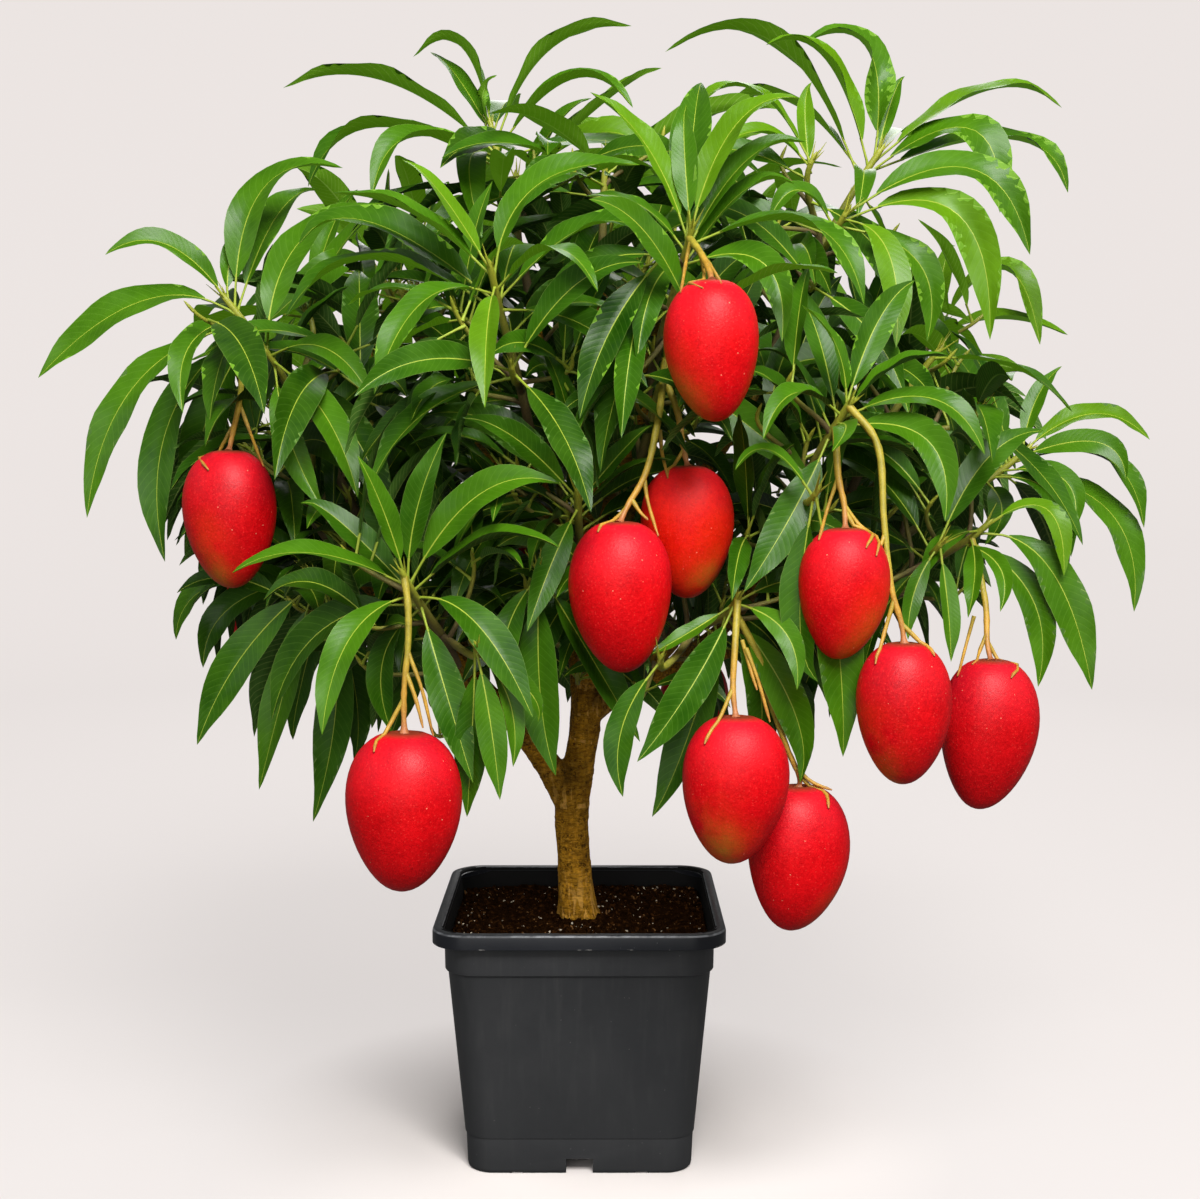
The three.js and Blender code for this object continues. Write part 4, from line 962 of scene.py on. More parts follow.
def known_leaves(mass, number, table):
    """The known leaves of one shoot, youngest first."""
    shoot = shoots_of[mass][number]
    draw = number_stream(number * 17 + len(table) * 131)
    grown = []
    for i, (middle_right, middle_down, tip_right, tip_down, lean) in enumerate(table):
        share = max(0.35, 1 - (3 + KNOWN_SPACING * i) / shoot.length)
        root, axis = shoot.built_place(share), shoot.sweep.way(share)
        middle = seen_at(middle_right, middle_down, root[1] - 62 * lean)
        tip = seen_at(tip_right, tip_down, root[1] - 100 * lean)
        line, length = bent_line(root, middle, tip, unit(eye - root), lean, 0.9 * (next(draw) - 0.5))
        plan = {"mass": mass, "rank": i, "root": root, "axis": axis, "length": length, "known": True}
        grown.append((plan, line))
    return grown


eye = np.array(CAMERA_PLACE) / MM
leaves = []
for (mass, number), table in KNOWN_LEAVES.items():
    leaves += known_leaves(mass, number, table)
lengths = [plan["length"] for plan, _ in leaves]
print("known leaves:", len(leaves), "from", round(min(lengths)), "to", round(max(lengths)), "mm long")

# %% [markdown]
# ## Which leaves grow
#
# The solid model has already tried every leaf: one that would touch a limb, a fruit or another leaf
# was turned, lifted or shortened a little, or given up. A solid leaf that was kept ends in one sharp
# tip, so each of the same tries is followed here until its tip is found among the solid's corners.

# %% Leaves that the solids have
TIP_TOLERANCE = 0.25


def solid_corners(node):
    """A search tree over the corners of a solid node, in millimetres."""
    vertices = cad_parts[node].data.vertices
    tree = KDTree(len(vertices))
    for i, vertex in enumerate(vertices):
        tree.insert(vertex.co / MM, i)
    tree.balance()
    return tree


def tried_plan(plan, turn, open_more, size):
    return dict(plan, turn=plan["turn"] + turn, open=plan["open"] + open_more, length=plan["length"] * size)


grown_leaves = []
given_up = []
for name, _, _, _, _, leaf, seed in MASSES:
    corners = solid_corners("foliage_" + name)
    for number, shoot in enumerate(shoots_of[name]):
        for plan in leaf_plans(shoot, name, leaf, seed * 31 + number * 7 + 3, shoot.leaves):
            for tries in TRIES:
                tried = tried_plan(plan, *tries)
                line = leaf_line(tried)
                if corners.find(line[0][-1])[2] < TIP_TOLERANCE:
                    grown_leaves.append((tried, line, (name, number) in KNOWN_LEAVES))
                    break
            else:
                given_up.append(plan)
print("leaves in the solids:", len(grown_leaves), "given up:", len(given_up))

# %% [markdown]
# ## Finer twigs
#
# A real crown has more leaves than the solids can hold. Each shoot keeps some older leaves lower
# down, and short spurs with smaller leaves grow from the shoots and from the outer part of the
# boughs, which fills the shaded inside of the crown. Every new leaf is tried against what is there
# already, with the same small turns, and hangs neither in another mass's space nor before a fruit.

# %% Spurs
OLDER_LEAVES = 6
SPUR_LENGTH = 62
SPUR_LEAVES = 7
SPUR_LEAF = 0.86
SHOOT_SPURS = (0.22, 0.5, 0.78)
BOUGH_SPURS = (0.45, 0.62, 0.78, 0.93)


def grow_spur(root, way, angle, reach, turn):
    tip = root + unit(0.7 * way + 0.3 * UP + 1.1 * sideways(way, angle)) * reach
    start_way = unit(way + 1.5 * unit(tip - root))
    return Shoot(Sweep(root, start_way, tip, shoot_axis(tip), 0.3), (2.4, 1.7), 0, turn)


more_plans = list(given_up)
spurs_of = {}
for name, _, _, _, _, leaf, seed in MASSES:
    draw = number_stream(seed + 5000)
    spurs = []
    for number, shoot in enumerate(shoots_of[name]):
        leaf_seed = seed * 31 + number * 7 + 3
        older = leaf_plans(shoot, name, leaf, leaf_seed, shoot.leaves + OLDER_LEAVES)
        more_plans += older[shoot.leaves:]
        for share in SHOOT_SPURS[: 3 if number == 0 else 2]:
            angle, reach = next(draw) * 2 * math.pi, SPUR_LENGTH * (0.8 + 0.5 * next(draw))
            turn = next(draw) * 2 * math.pi
            spurs.append(grow_spur(shoot.sweep.point(share), shoot.sweep.way(share), angle, reach, turn))
    for share in BOUGH_SPURS:
        middle, way, _ = limbs[name].look_up(share)
        angle, reach = next(draw) * 2 * math.pi, SPUR_LENGTH * (0.9 + 0.6 * next(draw))
        spurs.append(grow_spur(middle, way, angle, reach, next(draw) * 2 * math.pi))
    spurs_of[name] = spurs
    for number, spur in enumerate(spurs):
        plans = leaf_plans(spur, name, leaf * SPUR_LEAF, seed * 57 + number * 11 + 8000, SPUR_LEAVES, 3)
        more_plans += [dict(plan, spur=(name, number)) for plan in plans]
print("spurs:", sum(len(spurs) for spurs in spurs_of.values()), "leaves to try:", len(more_plans))


# %% Room to grow
def loft_faces(rows, sides):
    """Quads between rings, and the flat ends as fans from each ring's first corner."""
    quads = []
    for row in range(rows - 1):
        for i in range(sides):
            j = (i + 1) % sides
            quads.append((row * sides + i, row * sides + j, (row + 1) * sides + j, (row + 1) * sides + i))
    return quads


def tube_blocker(points, ways, radii, sides=6):
    """A coarse tube round a limb, as a search tree for touching."""
    rings = []
    for point, way, radius in zip(points, ways, radii):
        side = level_side(way)
        over = np.cross(way, side)
        for k in range(sides):
            angle = 2 * math.pi * k / sides
            rings.append(point + radius * (side * math.cos(angle) + over * math.sin(angle)))
    return rings, loft_faces(len(points), sides)


def leaf_blocker(plan, line, first_share=0.0):
    """The coarse keeled blade of the solids."""
    points, ways, faces = line
    width = plan["length"] * LEAF_WIDTH_SHARE
    keel = max(plan["length"] / 80, 1.6)
    blade = 1 - LEAF_STALK_SHARE
    corners = []
    for share, half in ((first_share, 1.1 + first_share * width), (LEAF_STALK_SHARE + 0.38 * blade, width / 2),
                        (LEAF_STALK_SHARE + 0.7 * blade, 0.36 * width)):
        row = round(share * LEAF_STEPS)
        side = np.cross(ways[row], faces[row])
        above = points[row] + faces[row] * keel / 2
        corners += [above - side * half, above + side * half, points[row] - faces[row] * keel / 2]
    corners.append(points[-1])
    return corners, loft_faces(3, 3) + [(6, 7, 9), (7, 8, 9), (8, 6, 9)]


MOST_SHAPES = 6000


class Room:
    """Everything placed so far, so that two leaves never cross."""

    def __init__(self):
        self.low, self.high = np.zeros((MOST_SHAPES, 3)), np.zeros((MOST_SHAPES, 3))
        self.trees = []

    def add(self, shape):
        corners, faces = shape
        places = np.array(corners)
        self.low[len(self.trees)] = places.min(0)
        self.high[len(self.trees)] = places.max(0)
        self.trees.append(BVHTree.FromPolygons([tuple(p) for p in corners], faces))

    def near(self, places):
        count = len(self.trees)
        met = (self.low[:count] < places.max(0)).all(1) & (self.high[:count] > places.min(0)).all(1)
        return np.flatnonzero(met)

    def free(self, shape):
        corners, faces = shape
        found = self.near(np.array(corners))
        if not len(found):
            return True
        tree = BVHTree.FromPolygons([tuple(p) for p in corners], faces)
        return not any(tree.overlap(self.trees[i]) for i in found)


def fruit_blocker(centre, width, height):
    middle = vec(*centre)
    downs = (-0.5, -0.3, 0.0, 0.3, 0.5)
    radii = [max(width / 2 * math.sqrt(max(1 - (2 * d) ** 2, 0.1)), 4) + 1.5 for d in downs]
    points = [middle - UP * d * height for d in downs]
    return tube_blocker(points, [-UP] * len(points), radii, 10)


room = Room()
for name, limb in limbs.items():
    marks = [limb.look_up(share) for share in np.linspace(0, 1, 9)]
    room.add(tube_blocker([m[0] for m in marks], [m[1] for m in marks], [m[2] + 0.8 for m in marks]))
for name, shoots in shoots_of.items():
    for shoot in shoots:
        shares = np.linspace(0.02, 1, 6)
        room.add(tube_blocker([shoot.sweep.point(s) for s in shares], [shoot.sweep.way(s) for s in shares], [3.0] * 6))
for mass, centre, width, height, *_ in FRUITS:
    room.add(fruit_blocker(centre, width, height))
for plan, line in leaves:
    room.add(leaf_blocker(plan, line, LEAF_STALK_SHARE))
print("shapes that take up room:", len(room.trees))

# %% What the front of the crown shows
FRUIT_SIGHT_MARGIN = 3.0
STEM_SIGHT = 430
CROWN_EDGE = [
    (205, 690), (180, 610), (150, 530), (128, 440), (125, 350), (160, 290), (200, 230), (250, 180),
    (310, 150), (370, 112), (440, 105), (470, 95), (520, 85), (570, 84), (620, 98), (650, 86),
    (700, 78), (780, 72), (830, 76), (890, 90), (940, 118), (980, 170), (1020, 235), (1022, 300),
    (1050, 345), (1070, 400), (1105, 450), (1118, 520), (1085, 590), (1055, 650), (985, 672),
    (900, 650), (860, 705), (815, 740), (770, 755), (700, 765), (640, 765), (612, 735), (600, 700),
    (560, 705), (515, 740), (480, 775), (440, 780), (410, 735), (365, 745), (325, 785), (275, 765), (235, 720),
]


def frame_places(points):
    """Where places show in the frame: right and down."""
    focal = CAMERA_LENS / CAMERA_SENSOR * FRAME_WIDTH
    sink, level = math.sin(CAMERA_DOWN), math.cos(CAMERA_DOWN)
    off = points - eye
    depth = off[:, 1] * level - off[:, 2] * sink
    above = off[:, 1] * sink + off[:, 2] * level
    return np.stack([FRAME_WIDTH / 2 + focal * off[:, 0] / depth, FRAME_HEIGHT / 2 - focal * above / depth], 1)


def inside_edge(places):
    """Which of these frame places lie inside the dense part of the crown."""
    x, y = places[:, 0], places[:, 1]
    inside = np.zeros(len(places), bool)
    for (x0, y0), (x1, y1) in zip(CROWN_EDGE, CROWN_EDGE[1:] + CROWN_EDGE[:1]):
        if y0 != y1:
            crosses = ((y0 > y) != (y1 > y)) & (x < (x1 - x0) * (y - y0) / (y1 - y0) + x0)
            inside ^= crosses
    return inside


def hides_fruit(points):
    """Whether a leaf would hang before one of the front fruit."""
    seen = frame_places(points)
    for _, centre, width, height, *_ in FRUITS:
        if centre[1] > 0:
            continue
        middle, side = frame_places(np.array([centre, (centre[0] + 1, centre[1], centre[2])], float))
        scale = side[0] - middle[0]
        half = scale * (np.array((width / 2, height / 2)) + FRUIT_SIGHT_MARGIN)
        inside = (((seen - middle) / half) ** 2).sum(1) < 1
        if (inside & (points[:, 1] < centre[1] + 10)).any():
            return True
    return False


stem_marks = np.array([trunk_look_up(t)[0] for t in np.linspace(0, 0.42, 12)]
                      + [limbs["left_high"].look_up(t)[0] for t in np.linspace(0.1, 0.5, 5)])
stem_seen = frame_places(stem_marks)


def hides_stem(points):
    """Whether a leaf would hang before the stem and its first fork."""
    seen = frame_places(points)
    near = np.linalg.norm(seen[:, None] - stem_seen[None], axis=2).min(1) < 34
    return (near & (points[:, 1] < 0) & (points[:, 2] < STEM_SIGHT)).any()


def fits_front(points):
    return inside_edge(frame_places(points)).all() and not hides_fruit(points) and not hides_stem(points)


# %% Keep the solids' leaves that agree with the known ones
KNOWN_BEHIND = 12.0
dropped = []
for plan, line, has_known in grown_leaves:
    points = line[0]
    if has_known and points[-1][1] < points[0][1] + KNOWN_BEHIND:
        continue
    blade = leaf_blocker(plan, line, LEAF_STALK_SHARE)
    if fits_front(points[3:]) and room.free(blade):
        room.add(blade)
        leaves.append((plan, line))
    else:
        dropped.append(plan)
print("leaves so far:", len(leaves), "left out for the known ones:", len(grown_leaves) + len(lengths) - len(leaves))

# %% Grow the finer leaves
INNER_REACH = 0.86
CROWN_MIDDLE = vec(0, 0, 600)
CROWN_HALF = vec(440, 385, 350)
marks_of = {name: np.array([s.sweep.point(t) for s in shoots for t in (0.4, 0.7, 1)])
            for name, shoots in shoots_of.items()}
all_marks = np.concatenate(list(marks_of.values()))
mark_owner = np.concatenate([[name] * len(marks) for name, marks in marks_of.items()])


def keeps_to_space(points, mass):
    distance = np.linalg.norm(points[:, None] - all_marks[None], axis=2)
    own = distance[:, mark_owner == mass].min(1)
    other = distance[:, mark_owner != mass].min(1)
    return (own - other < OVERHANG).all()


def stays_inner(points):
    """Whether a finer leaf keeps inside the crown: fully so in front, less so behind."""
    reach = np.linalg.norm((points - CROWN_MIDDLE) / CROWN_HALF, axis=1).max()
    return reach < (INNER_REACH if points[:, 1].min() < 60 else 1.0)


low_limit = np.array(solid_box[0]) / MM
high_limit = np.array(solid_box[1]) / MM
more_plans.sort(key=lambda plan: plan["rank"])
grown = 0
for plan in more_plans:
    for tries in TRIES:
        tried = tried_plan(plan, *tries)
        line = leaf_line(tried)
        points = line[0]
        if (points < low_limit).any() or (points > high_limit).any():
            continue
        if not (stays_inner(points) and keeps_to_space(points, plan["mass"]) and fits_front(points)):
            continue
        blade = leaf_blocker(tried, line, LEAF_STALK_SHARE)
        if room.free(blade):
            room.add(blade)
            leaves.append((tried, line))
            grown += 1
            break
leafy_spurs = {plan.get("spur") for plan, _ in leaves}
print("finer leaves grown:", grown, "leaves in all:", len(leaves), "spurs kept:", len(leafy_spurs) - 1)

# %% [markdown]
# ## Leaf shape
#
# The blade is lance-shaped: it starts abruptly at the end of a thin stalk, is widest before its
# middle and draws out to a long tip. Its two halves rise from the midrib in a shallow V, curl down
# again at the margin and wave a little. One template of rows and columns is bent along every leaf
# line at once. Upper side, midrib, underside and stalk are faces of one closed shape.

# %% Leaf template
BLADE_STEPS = 18
BLADE_ROWS = np.arange(BLADE_STEPS) / BLADE_STEPS
BLADE_OUTLINE = ((0, 0.10), (0.04, 0.30), (0.10, 0.53), (0.2, 0.79), (0.32, 0.96), (0.44, 1.0), (0.56, 0.96),
                 (0.68, 0.82), (0.78, 0.61), (0.86, 0.38), (0.92, 0.21), (0.97, 0.10), (1, 0.03))
HALF_AT = np.interp(BLADE_ROWS, *zip(*BLADE_OUTLINE))
UPPER_COLUMNS = np.array((-1, -0.68, -0.34, 0, 0, 0.34, 0.68, 1))
LOWER_COLUMNS = np.array((-0.5, 0, 0.5))
RIB_HALF = (0.50, 0.13)
LOOK_WIDTH_SHARE = 0.206
LONGEST_FOR_WIDTH = 172.0
FOLD = math.radians(22)
CURL = 0.05
WAVE = 1.5
STALK_ROWS = np.array((0.0, 0.3, 0.75, 1.0))
STALK_RADII = (1.9, 1.15, 1.0, 1.15)
STALK_SIDES = 5

rows, columns = len(BLADE_ROWS), len(UPPER_COLUMNS)
ring = columns + len(LOWER_COLUMNS)


def leaf_faces():
    """Faces of the template with their slots: 0 upper side, 1 underside, 2 midrib and stalk."""
    quads, slots, tris, tri_slots = [], [], [], []
    upper = list(range(columns))
    lower = [columns - 1] + [columns + k for k in range(len(LOWER_COLUMNS))][::-1] + [0]
    apex = rows * ring
    for row in range(rows - 1):
        here, there = row * ring, (row + 1) * ring
        for line, slot in ((upper, 0), (lower, 1)):
            for a, b in zip(line[:-1], line[1:]):
                quads.append((here + a, here + b, there + b, there + a))
                slots.append(2 if slot == 0 and a == columns // 2 - 1 else slot)
    last = (rows - 1) * ring
    for line, slot in ((upper, 0), (lower, 1)):
        for a, b in zip(line[:-1], line[1:]):
            tris.append((last + a, last + b, apex))
            tri_slots.append(2 if slot == 0 and a == columns // 2 - 1 else slot)
    base = tuple(upper[::-1] + lower[::-1][1:-1])
    first = apex + 1
    for row in range(len(STALK_ROWS) - 1):
        for k in range(STALK_SIDES):
            n = (k + 1) % STALK_SIDES
            here, there = first + row * STALK_SIDES, first + (row + 1) * STALK_SIDES
            quads.append((here + k, here + n, there + n, there + k))
            slots.append(2)
    end = first + (len(STALK_ROWS) - 1) * STALK_SIDES
    caps = [tuple(first + k for k in range(STALK_SIDES))[::-1], tuple(end + k for k in range(STALK_SIDES))]
    return (np.array(quads), np.array(slots), np.array(tris), np.array(tri_slots),
            np.array([base]), np.array(caps))


def spread_weights(shares):
    """Weights that read a smooth curve through the steps of a leaf line at these shares."""
    weights = np.zeros((len(shares), LEAF_STEPS + 1))
    for row, share in enumerate(shares):
        place = min(share, 1) * LEAF_STEPS
        k = min(int(place), LEAF_STEPS - 1)
        t = place - k
        knots = ((-1, -0.5 * t + t * t - 0.5 * t**3), (0, 1 - 2.5 * t * t + 1.5 * t**3),
                 (1, 0.5 * t + 2 * t * t - 1.5 * t**3), (2, -0.5 * t * t + 0.5 * t**3))
        for step, weight in knots:
            weights[row, min(max(k + step, 0), LEAF_STEPS)] += weight
    return weights


blade_shares = LEAF_STALK_SHARE + BLADE_ROWS * (1 - LEAF_STALK_SHARE)
stalk_shares = STALK_ROWS * (LEAF_STALK_SHARE + 0.012)
READ = spread_weights(np.concatenate([blade_shares, [1.0], stalk_shares]))
print("template rows", rows, "corners a leaf", rows * ring + 1 + len(STALK_ROWS) * STALK_SIDES)


# %% Bend the template along the leaf lines
def leaf_corners(points, ways, faces, length, chances):
    """The corners of many leaves at once. The first number of every array counts the leaves."""
    count = len(points)
    middle = np.einsum("rk,nkc->nrc", READ, points)
    way = np.einsum("rk,nkc->nrc", READ, ways)
    way /= np.linalg.norm(way, axis=2, keepdims=True)
    face = np.einsum("rk,nkc->nrc", READ, faces)
    face -= way * (face * way).sum(2, keepdims=True)
    face /= np.linalg.norm(face, axis=2, keepdims=True)
    side = np.cross(way, face)
    full_width = np.minimum(length, LONGEST_FOR_WIDTH) * LOOK_WIDTH_SHARE * (0.92 + 0.16 * chances[:, 4])
    half = HALF_AT[None] * (full_width / 2)[:, None]
    rib = RIB_HALF[0] + (RIB_HALF[1] - RIB_HALF[0]) * BLADE_ROWS[None]
    rib = np.minimum(rib, half * 0.3)
    phase = 2 * math.pi * chances[:, :2]
    ripples = 1.4 + 1.9 * chances[:, 2]
    fold = FOLD * (0.55 + 0.9 * chances[:, 3])

    def blade(column, below):
        reach = column * half
        if column == 0 and not below:
            return None
        wave_phase = phase[:, 0 if column < 0 else 1]
        ripple = np.sin(2 * math.pi * ripples[:, None] * BLADE_ROWS[None] + wave_phase[:, None])
        fade = np.minimum(1, 4 * BLADE_ROWS * (1 - BLADE_ROWS) * 1.6)[None]
        lift = np.abs(reach) * np.sin(fold)[:, None] - CURL * reach**2 / np.maximum(half, 0.1)
        lift += WAVE * (length / LEAF_LENGTH)[:, None] * ripple * fade * abs(column) ** 1.4
        across = reach * np.cos(fold)[:, None]
        return across, lift - (below * (1 - abs(column)))

    corners = np.zeros((count, rows * ring + 1 + len(STALK_ROWS) * STALK_SIDES, 3))
    grid = corners[:, : rows * ring].reshape(count, rows, ring, 3)
    for k, column in enumerate(UPPER_COLUMNS):
        if column == 0:
            across = rib * (-1 if k < columns / 2 else 1)
            lift = np.full_like(across, 0.12)
        else:
            across, lift = blade(column, 0)
        grid[:, :, k] = middle[:, :rows] + side[:, :rows] * across[..., None] + face[:, :rows] * lift[..., None]
    for k, column in enumerate(LOWER_COLUMNS):
        across, lift = blade(column, 0.9) if column else (np.zeros_like(half), np.full_like(half, -1.25))
        grid[:, :, columns + k] = middle[:, :rows] + side[:, :rows] * across[..., None] + face[:, :rows] * lift[..., None]
    corners[:, rows * ring] = middle[:, rows]
    first = rows * ring + 1
    for row, radius in enumerate(STALK_RADII):
        place, across, above = middle[:, rows + 1 + row], side[:, rows + 1 + row], face[:, rows + 1 + row]
        for k in range(STALK_SIDES):
            angle = 2 * math.pi * k / STALK_SIDES
            reach = across * math.cos(angle) - above * math.sin(angle)
            corners[:, first + row * STALK_SIDES + k] = place + reach * radius - above * 0.4 * (row > 1)
    return corners


def leaf_map_places():
    places = np.zeros((rows * ring + 1 + len(STALK_ROWS) * STALK_SIDES, 2))
    grid = places[: rows * ring].reshape(rows, ring, 2)
    grid[:, :, 1] = BLADE_ROWS[:, None]
    grid[:, :columns, 0] = 0.5 + UPPER_COLUMNS / 2
    grid[:, columns:, 0] = 0.5 + LOWER_COLUMNS / 2
    places[rows * ring] = (0.5, 1.0)
    places[rows * ring + 1:] = (0.5, -0.05)
    return places


# %% [markdown]
# ## Dealing out the greens and joining the leaves
#
# Young leaves near the tips of the upper shoots are light, those further down and inside are deep:
# partly their age, partly painted light on the top of the crown and painted shade inside it.
# A little chance keeps neighbours apart. All leaves of a mass become one piece.

# %% Join the leaves of each mass
GREEN_NAMES = list(LEAF_GREENS)
UNDER_NAMES = ["leaf_underside", "leaf_underside_open"]
OPEN_HEIGHT = 680
OPEN_REACH = 0.80
MARGIN_ANGLE = math.radians(75)
quads, quad_slots, tris, tri_slots, bases, caps = leaf_faces()
map_places = leaf_map_places()


def green_of(plan, line, chance):
    """The number of the green that a leaf takes, from 0 the lightest to 4 the deepest."""
    tip = line[0][-1]
    out = min(1.0, np.linalg.norm((line[0][6] - vec(0, 0, 560)) / vec(420, 380, 400)))
    high = (line[0][6][2] - 400) / 520
    # Height and reach out give lighter greens, rank and the finer inner leaves deeper ones: leaf age, and painted light
    # and shade of the crown.
    score = 0.30 + 0.16 * min(plan["rank"], 12) / 2.4 - 0.9 * (high - 0.4) - 2.4 * (out - 0.78) + 1.3 * (chance - 0.5)
    if "known" not in plan:
        score += 0.95
    return int(min(max(round(score + 1.0), 0), 4))


def in_the_open(line):
    """Whether a leaf stands high and far out, where light comes through it."""
    middle = line[0][6]
    return middle[2] > OPEN_HEIGHT and np.linalg.norm((middle - vec(0, 0, 560)) / vec(420, 380, 400)) > OPEN_REACH


leaf_total = 0
for row in MASSES:
    name = row[0]
    own = [(plan, line) for plan, line in leaves if plan["mass"] == name]
    draw = number_stream(row[6] + 900)
    chances = np.array([[next(draw) for _ in range(5)] for _ in own])
    points, ways, faces = (np.array([line[i] for _, line in own]) for i in range(3))
    length = np.array([plan["length"] for plan, _ in own])
    corners = leaf_corners(points, ways, faces, length, chances)
    step = corners.shape[1]
    shift = (np.arange(len(own)) * step)[:, None, None]
    sets = [(shift + part[None]).reshape(-1, part.shape[1]) for part in (quads, tris, bases, caps)]
    mesh = mesh_from("leaves_" + name, corners.reshape(-1, 3), sets)
    greens = np.array([green_of(plan, line, chance[4]) for (plan, line), chance in zip(own, chances)])
    # Leaves high and far out take the underside with painted light shining through.
    unders = np.array([len(GREEN_NAMES) + in_the_open(line) for _, line in own])
    rib = len(GREEN_NAMES) + len(UNDER_NAMES)

    def slots_of(template):
        table = np.stack([greens, unders, np.full_like(greens, rib)], 1)
        return table[:, template].reshape(-1)

    slots = np.concatenate([slots_of(quad_slots), slots_of(tri_slots),
                            np.full(len(own), rib), np.full(2 * len(own), rib)])
    set_faces(mesh, GREEN_NAMES + UNDER_NAMES + ["leaf_midrib"], slots)
    mesh.set_sharp_from_angle(angle=MARGIN_ANGLE)
    set_map(mesh, "LeafMap", np.tile(map_places, (len(own), 1)))
    has_fruit = any(fruit[0] == name for fruit in FRUITS)
    add_piece("leaves_" + name, mesh, "fruiting_foliage" if has_fruit else "foliage", "foliage_" + name)
    leaf_total += triangle_count(mesh)
print("triangles in leaves:", leaf_total)

# %% [markdown]
# ## Twigs, buds and fruit stalks
#
# A twig is a line with a thickness at each of its points, so Geometry Nodes can grow the round
# shape: the line becomes a curve, takes its radius from the points, and a small circle is swept
# along it. The same tree serves the fruit stalks, with another material.


# %% The tube tree
def tube_tree():
    tree = bpy.data.node_groups.new("GrowTubes", "GeometryNodeTree")
    tree.interface.new_socket("Geometry", in_out="INPUT", socket_type="NodeSocketGeometry")
    sides = tree.interface.new_socket("Sides", in_out="INPUT", socket_type="NodeSocketInt")
    sides.default_value = 7
    tree.interface.new_socket("Material", in_out="INPUT", socket_type="NodeSocketMaterial")
    tree.interface.new_socket("Geometry", in_out="OUTPUT", socket_type="NodeSocketGeometry")
    nodes = Nodes(tree)
    given = nodes.add("NodeGroupInput").outputs
    radius = nodes.add("GeometryNodeInputNamedAttribute", {"Name": "radius_m"}, data_type="FLOAT")
    curve = nodes.add("GeometryNodeMeshToCurve", {"Mesh": given["Geometry"]})
    sized = nodes.add("GeometryNodeSetCurveRadius", {"Curve": curve.outputs[0], "Radius": radius.outputs[0]})
    circle = nodes.add("GeometryNodeCurvePrimitiveCircle", {"Resolution": given["Sides"], "Radius": 1.0})
    tube = nodes.add("GeometryNodeCurveToMesh",
                     {"Curve": sized.outputs[0], "Profile Curve": circle.outputs[0], "Fill Caps": True})
    if "Scale" in tube.inputs:
        nodes.set(tube, "Scale", radius.outputs[0])
    smooth = nodes.add("GeometryNodeSetShadeSmooth", {"Geometry": tube.outputs[0]})
    real = nodes.add("GeometryNodeRealizeInstances", {"Geometry": smooth.outputs[0]})
    made = nodes.add("GeometryNodeSetMaterial", {"Geometry": real.outputs[0], "Material": given["Material"]})
    nodes.add("NodeGroupOutput", {"Geometry": made.outputs[0]})
    return tree


def socket_id(tree, name):
    return next(item.identifier for item in tree.interface.items_tree
                if item.name == name and item.in_out == "INPUT")


def made_by_nodes(source, tree, inputs):
    """The mesh that a Geometry Nodes tree makes from a source mesh, with its inputs set first."""
    holder = bpy.data.objects.new("holder", source)
    bpy.context.collection.objects.link(holder)
    modifier = holder.modifiers.new("nodes", "NODES")
    modifier.node_group = tree
    for name, value in inputs.items():
        modifier[socket_id(tree, name)] = value
    depsgraph = bpy.context.evaluated_depsgraph_get()
    mesh = bpy.data.meshes.new_from_object(holder.evaluated_get(depsgraph), depsgraph=depsgraph)
    bpy.data.objects.remove(holder)
    return mesh


grow_tubes = tube_tree()


class Lines:
    """Collects lines whose points have a thickness and a woodiness."""

    def __init__(self):
        self.points, self.edges, self.radii, self.woody = [], [], [], []

    def add(self, points, radii, woody):
        first = len(self.points)
        self.points += [tuple(point * MM) for point in points]
        self.edges += [(first + i, first + i + 1) for i in range(len(points) - 1)]
        self.radii += [radius * MM for radius in radii]
        self.woody += list(woody)

    def tubes(self, name, sides, material):
        source = bpy.data.meshes.new(name)
        source.from_pydata(self.points, self.edges, [])
        set_values(source, "radius_m", self.radii)
        set_values(source, "woody", self.woody)
        mesh = made_by_nodes(source, grow_tubes, {"Sides": sides, "Material": bpy.data.materials[material]})
        mesh.name = name
        return mesh


# %% Twigs of each mass
BUD_LENGTH = 9.0
SPIKES = 4


def add_shoot(lines, shoot, draw, thickness=1.0, spikes=SPIKES):
    """A shoot with its nodes a little swollen, its bud and a few needle-thin leaves just breaking."""
    shares = np.linspace(0, 1, 11)
    wobble = [1 + 0.10 * (next(draw) - 0.5) for _ in shares]
    radii = (shoot.radii[0] + (shoot.radii[1] - shoot.radii[0]) * shares) * np.array(wobble) * thickness
    woody = np.clip(1.25 - 1.3 * shares, 0, 1)
    lines.add([shoot.sweep.point(share) for share in shares], radii, woody)
    tip, way = shoot.sweep.point(1), shoot.sweep.way(1)
    bud = [tip - way * 2, tip + way * BUD_LENGTH * 0.3, tip + way * BUD_LENGTH * 0.7, tip + way * BUD_LENGTH]
    end = shoot.radii[1] * thickness
    lines.add(bud, (end, end * 0.95, end * 0.6, 0.25), (0, 0, 0, 0))
    for i in range(spikes):
        out = sideways(way, shoot.turn + i * GOLDEN_ANGLE)
        reach = (9 + 12 * next(draw)) * thickness
        steps = [tip + way * reach * t + out * (1.0 + reach * 0.32 * t) for t in (0.0, 0.5, 1.0)]
        lines.add(steps, (0.9, 0.65, 0.15), (0, 0, 0))


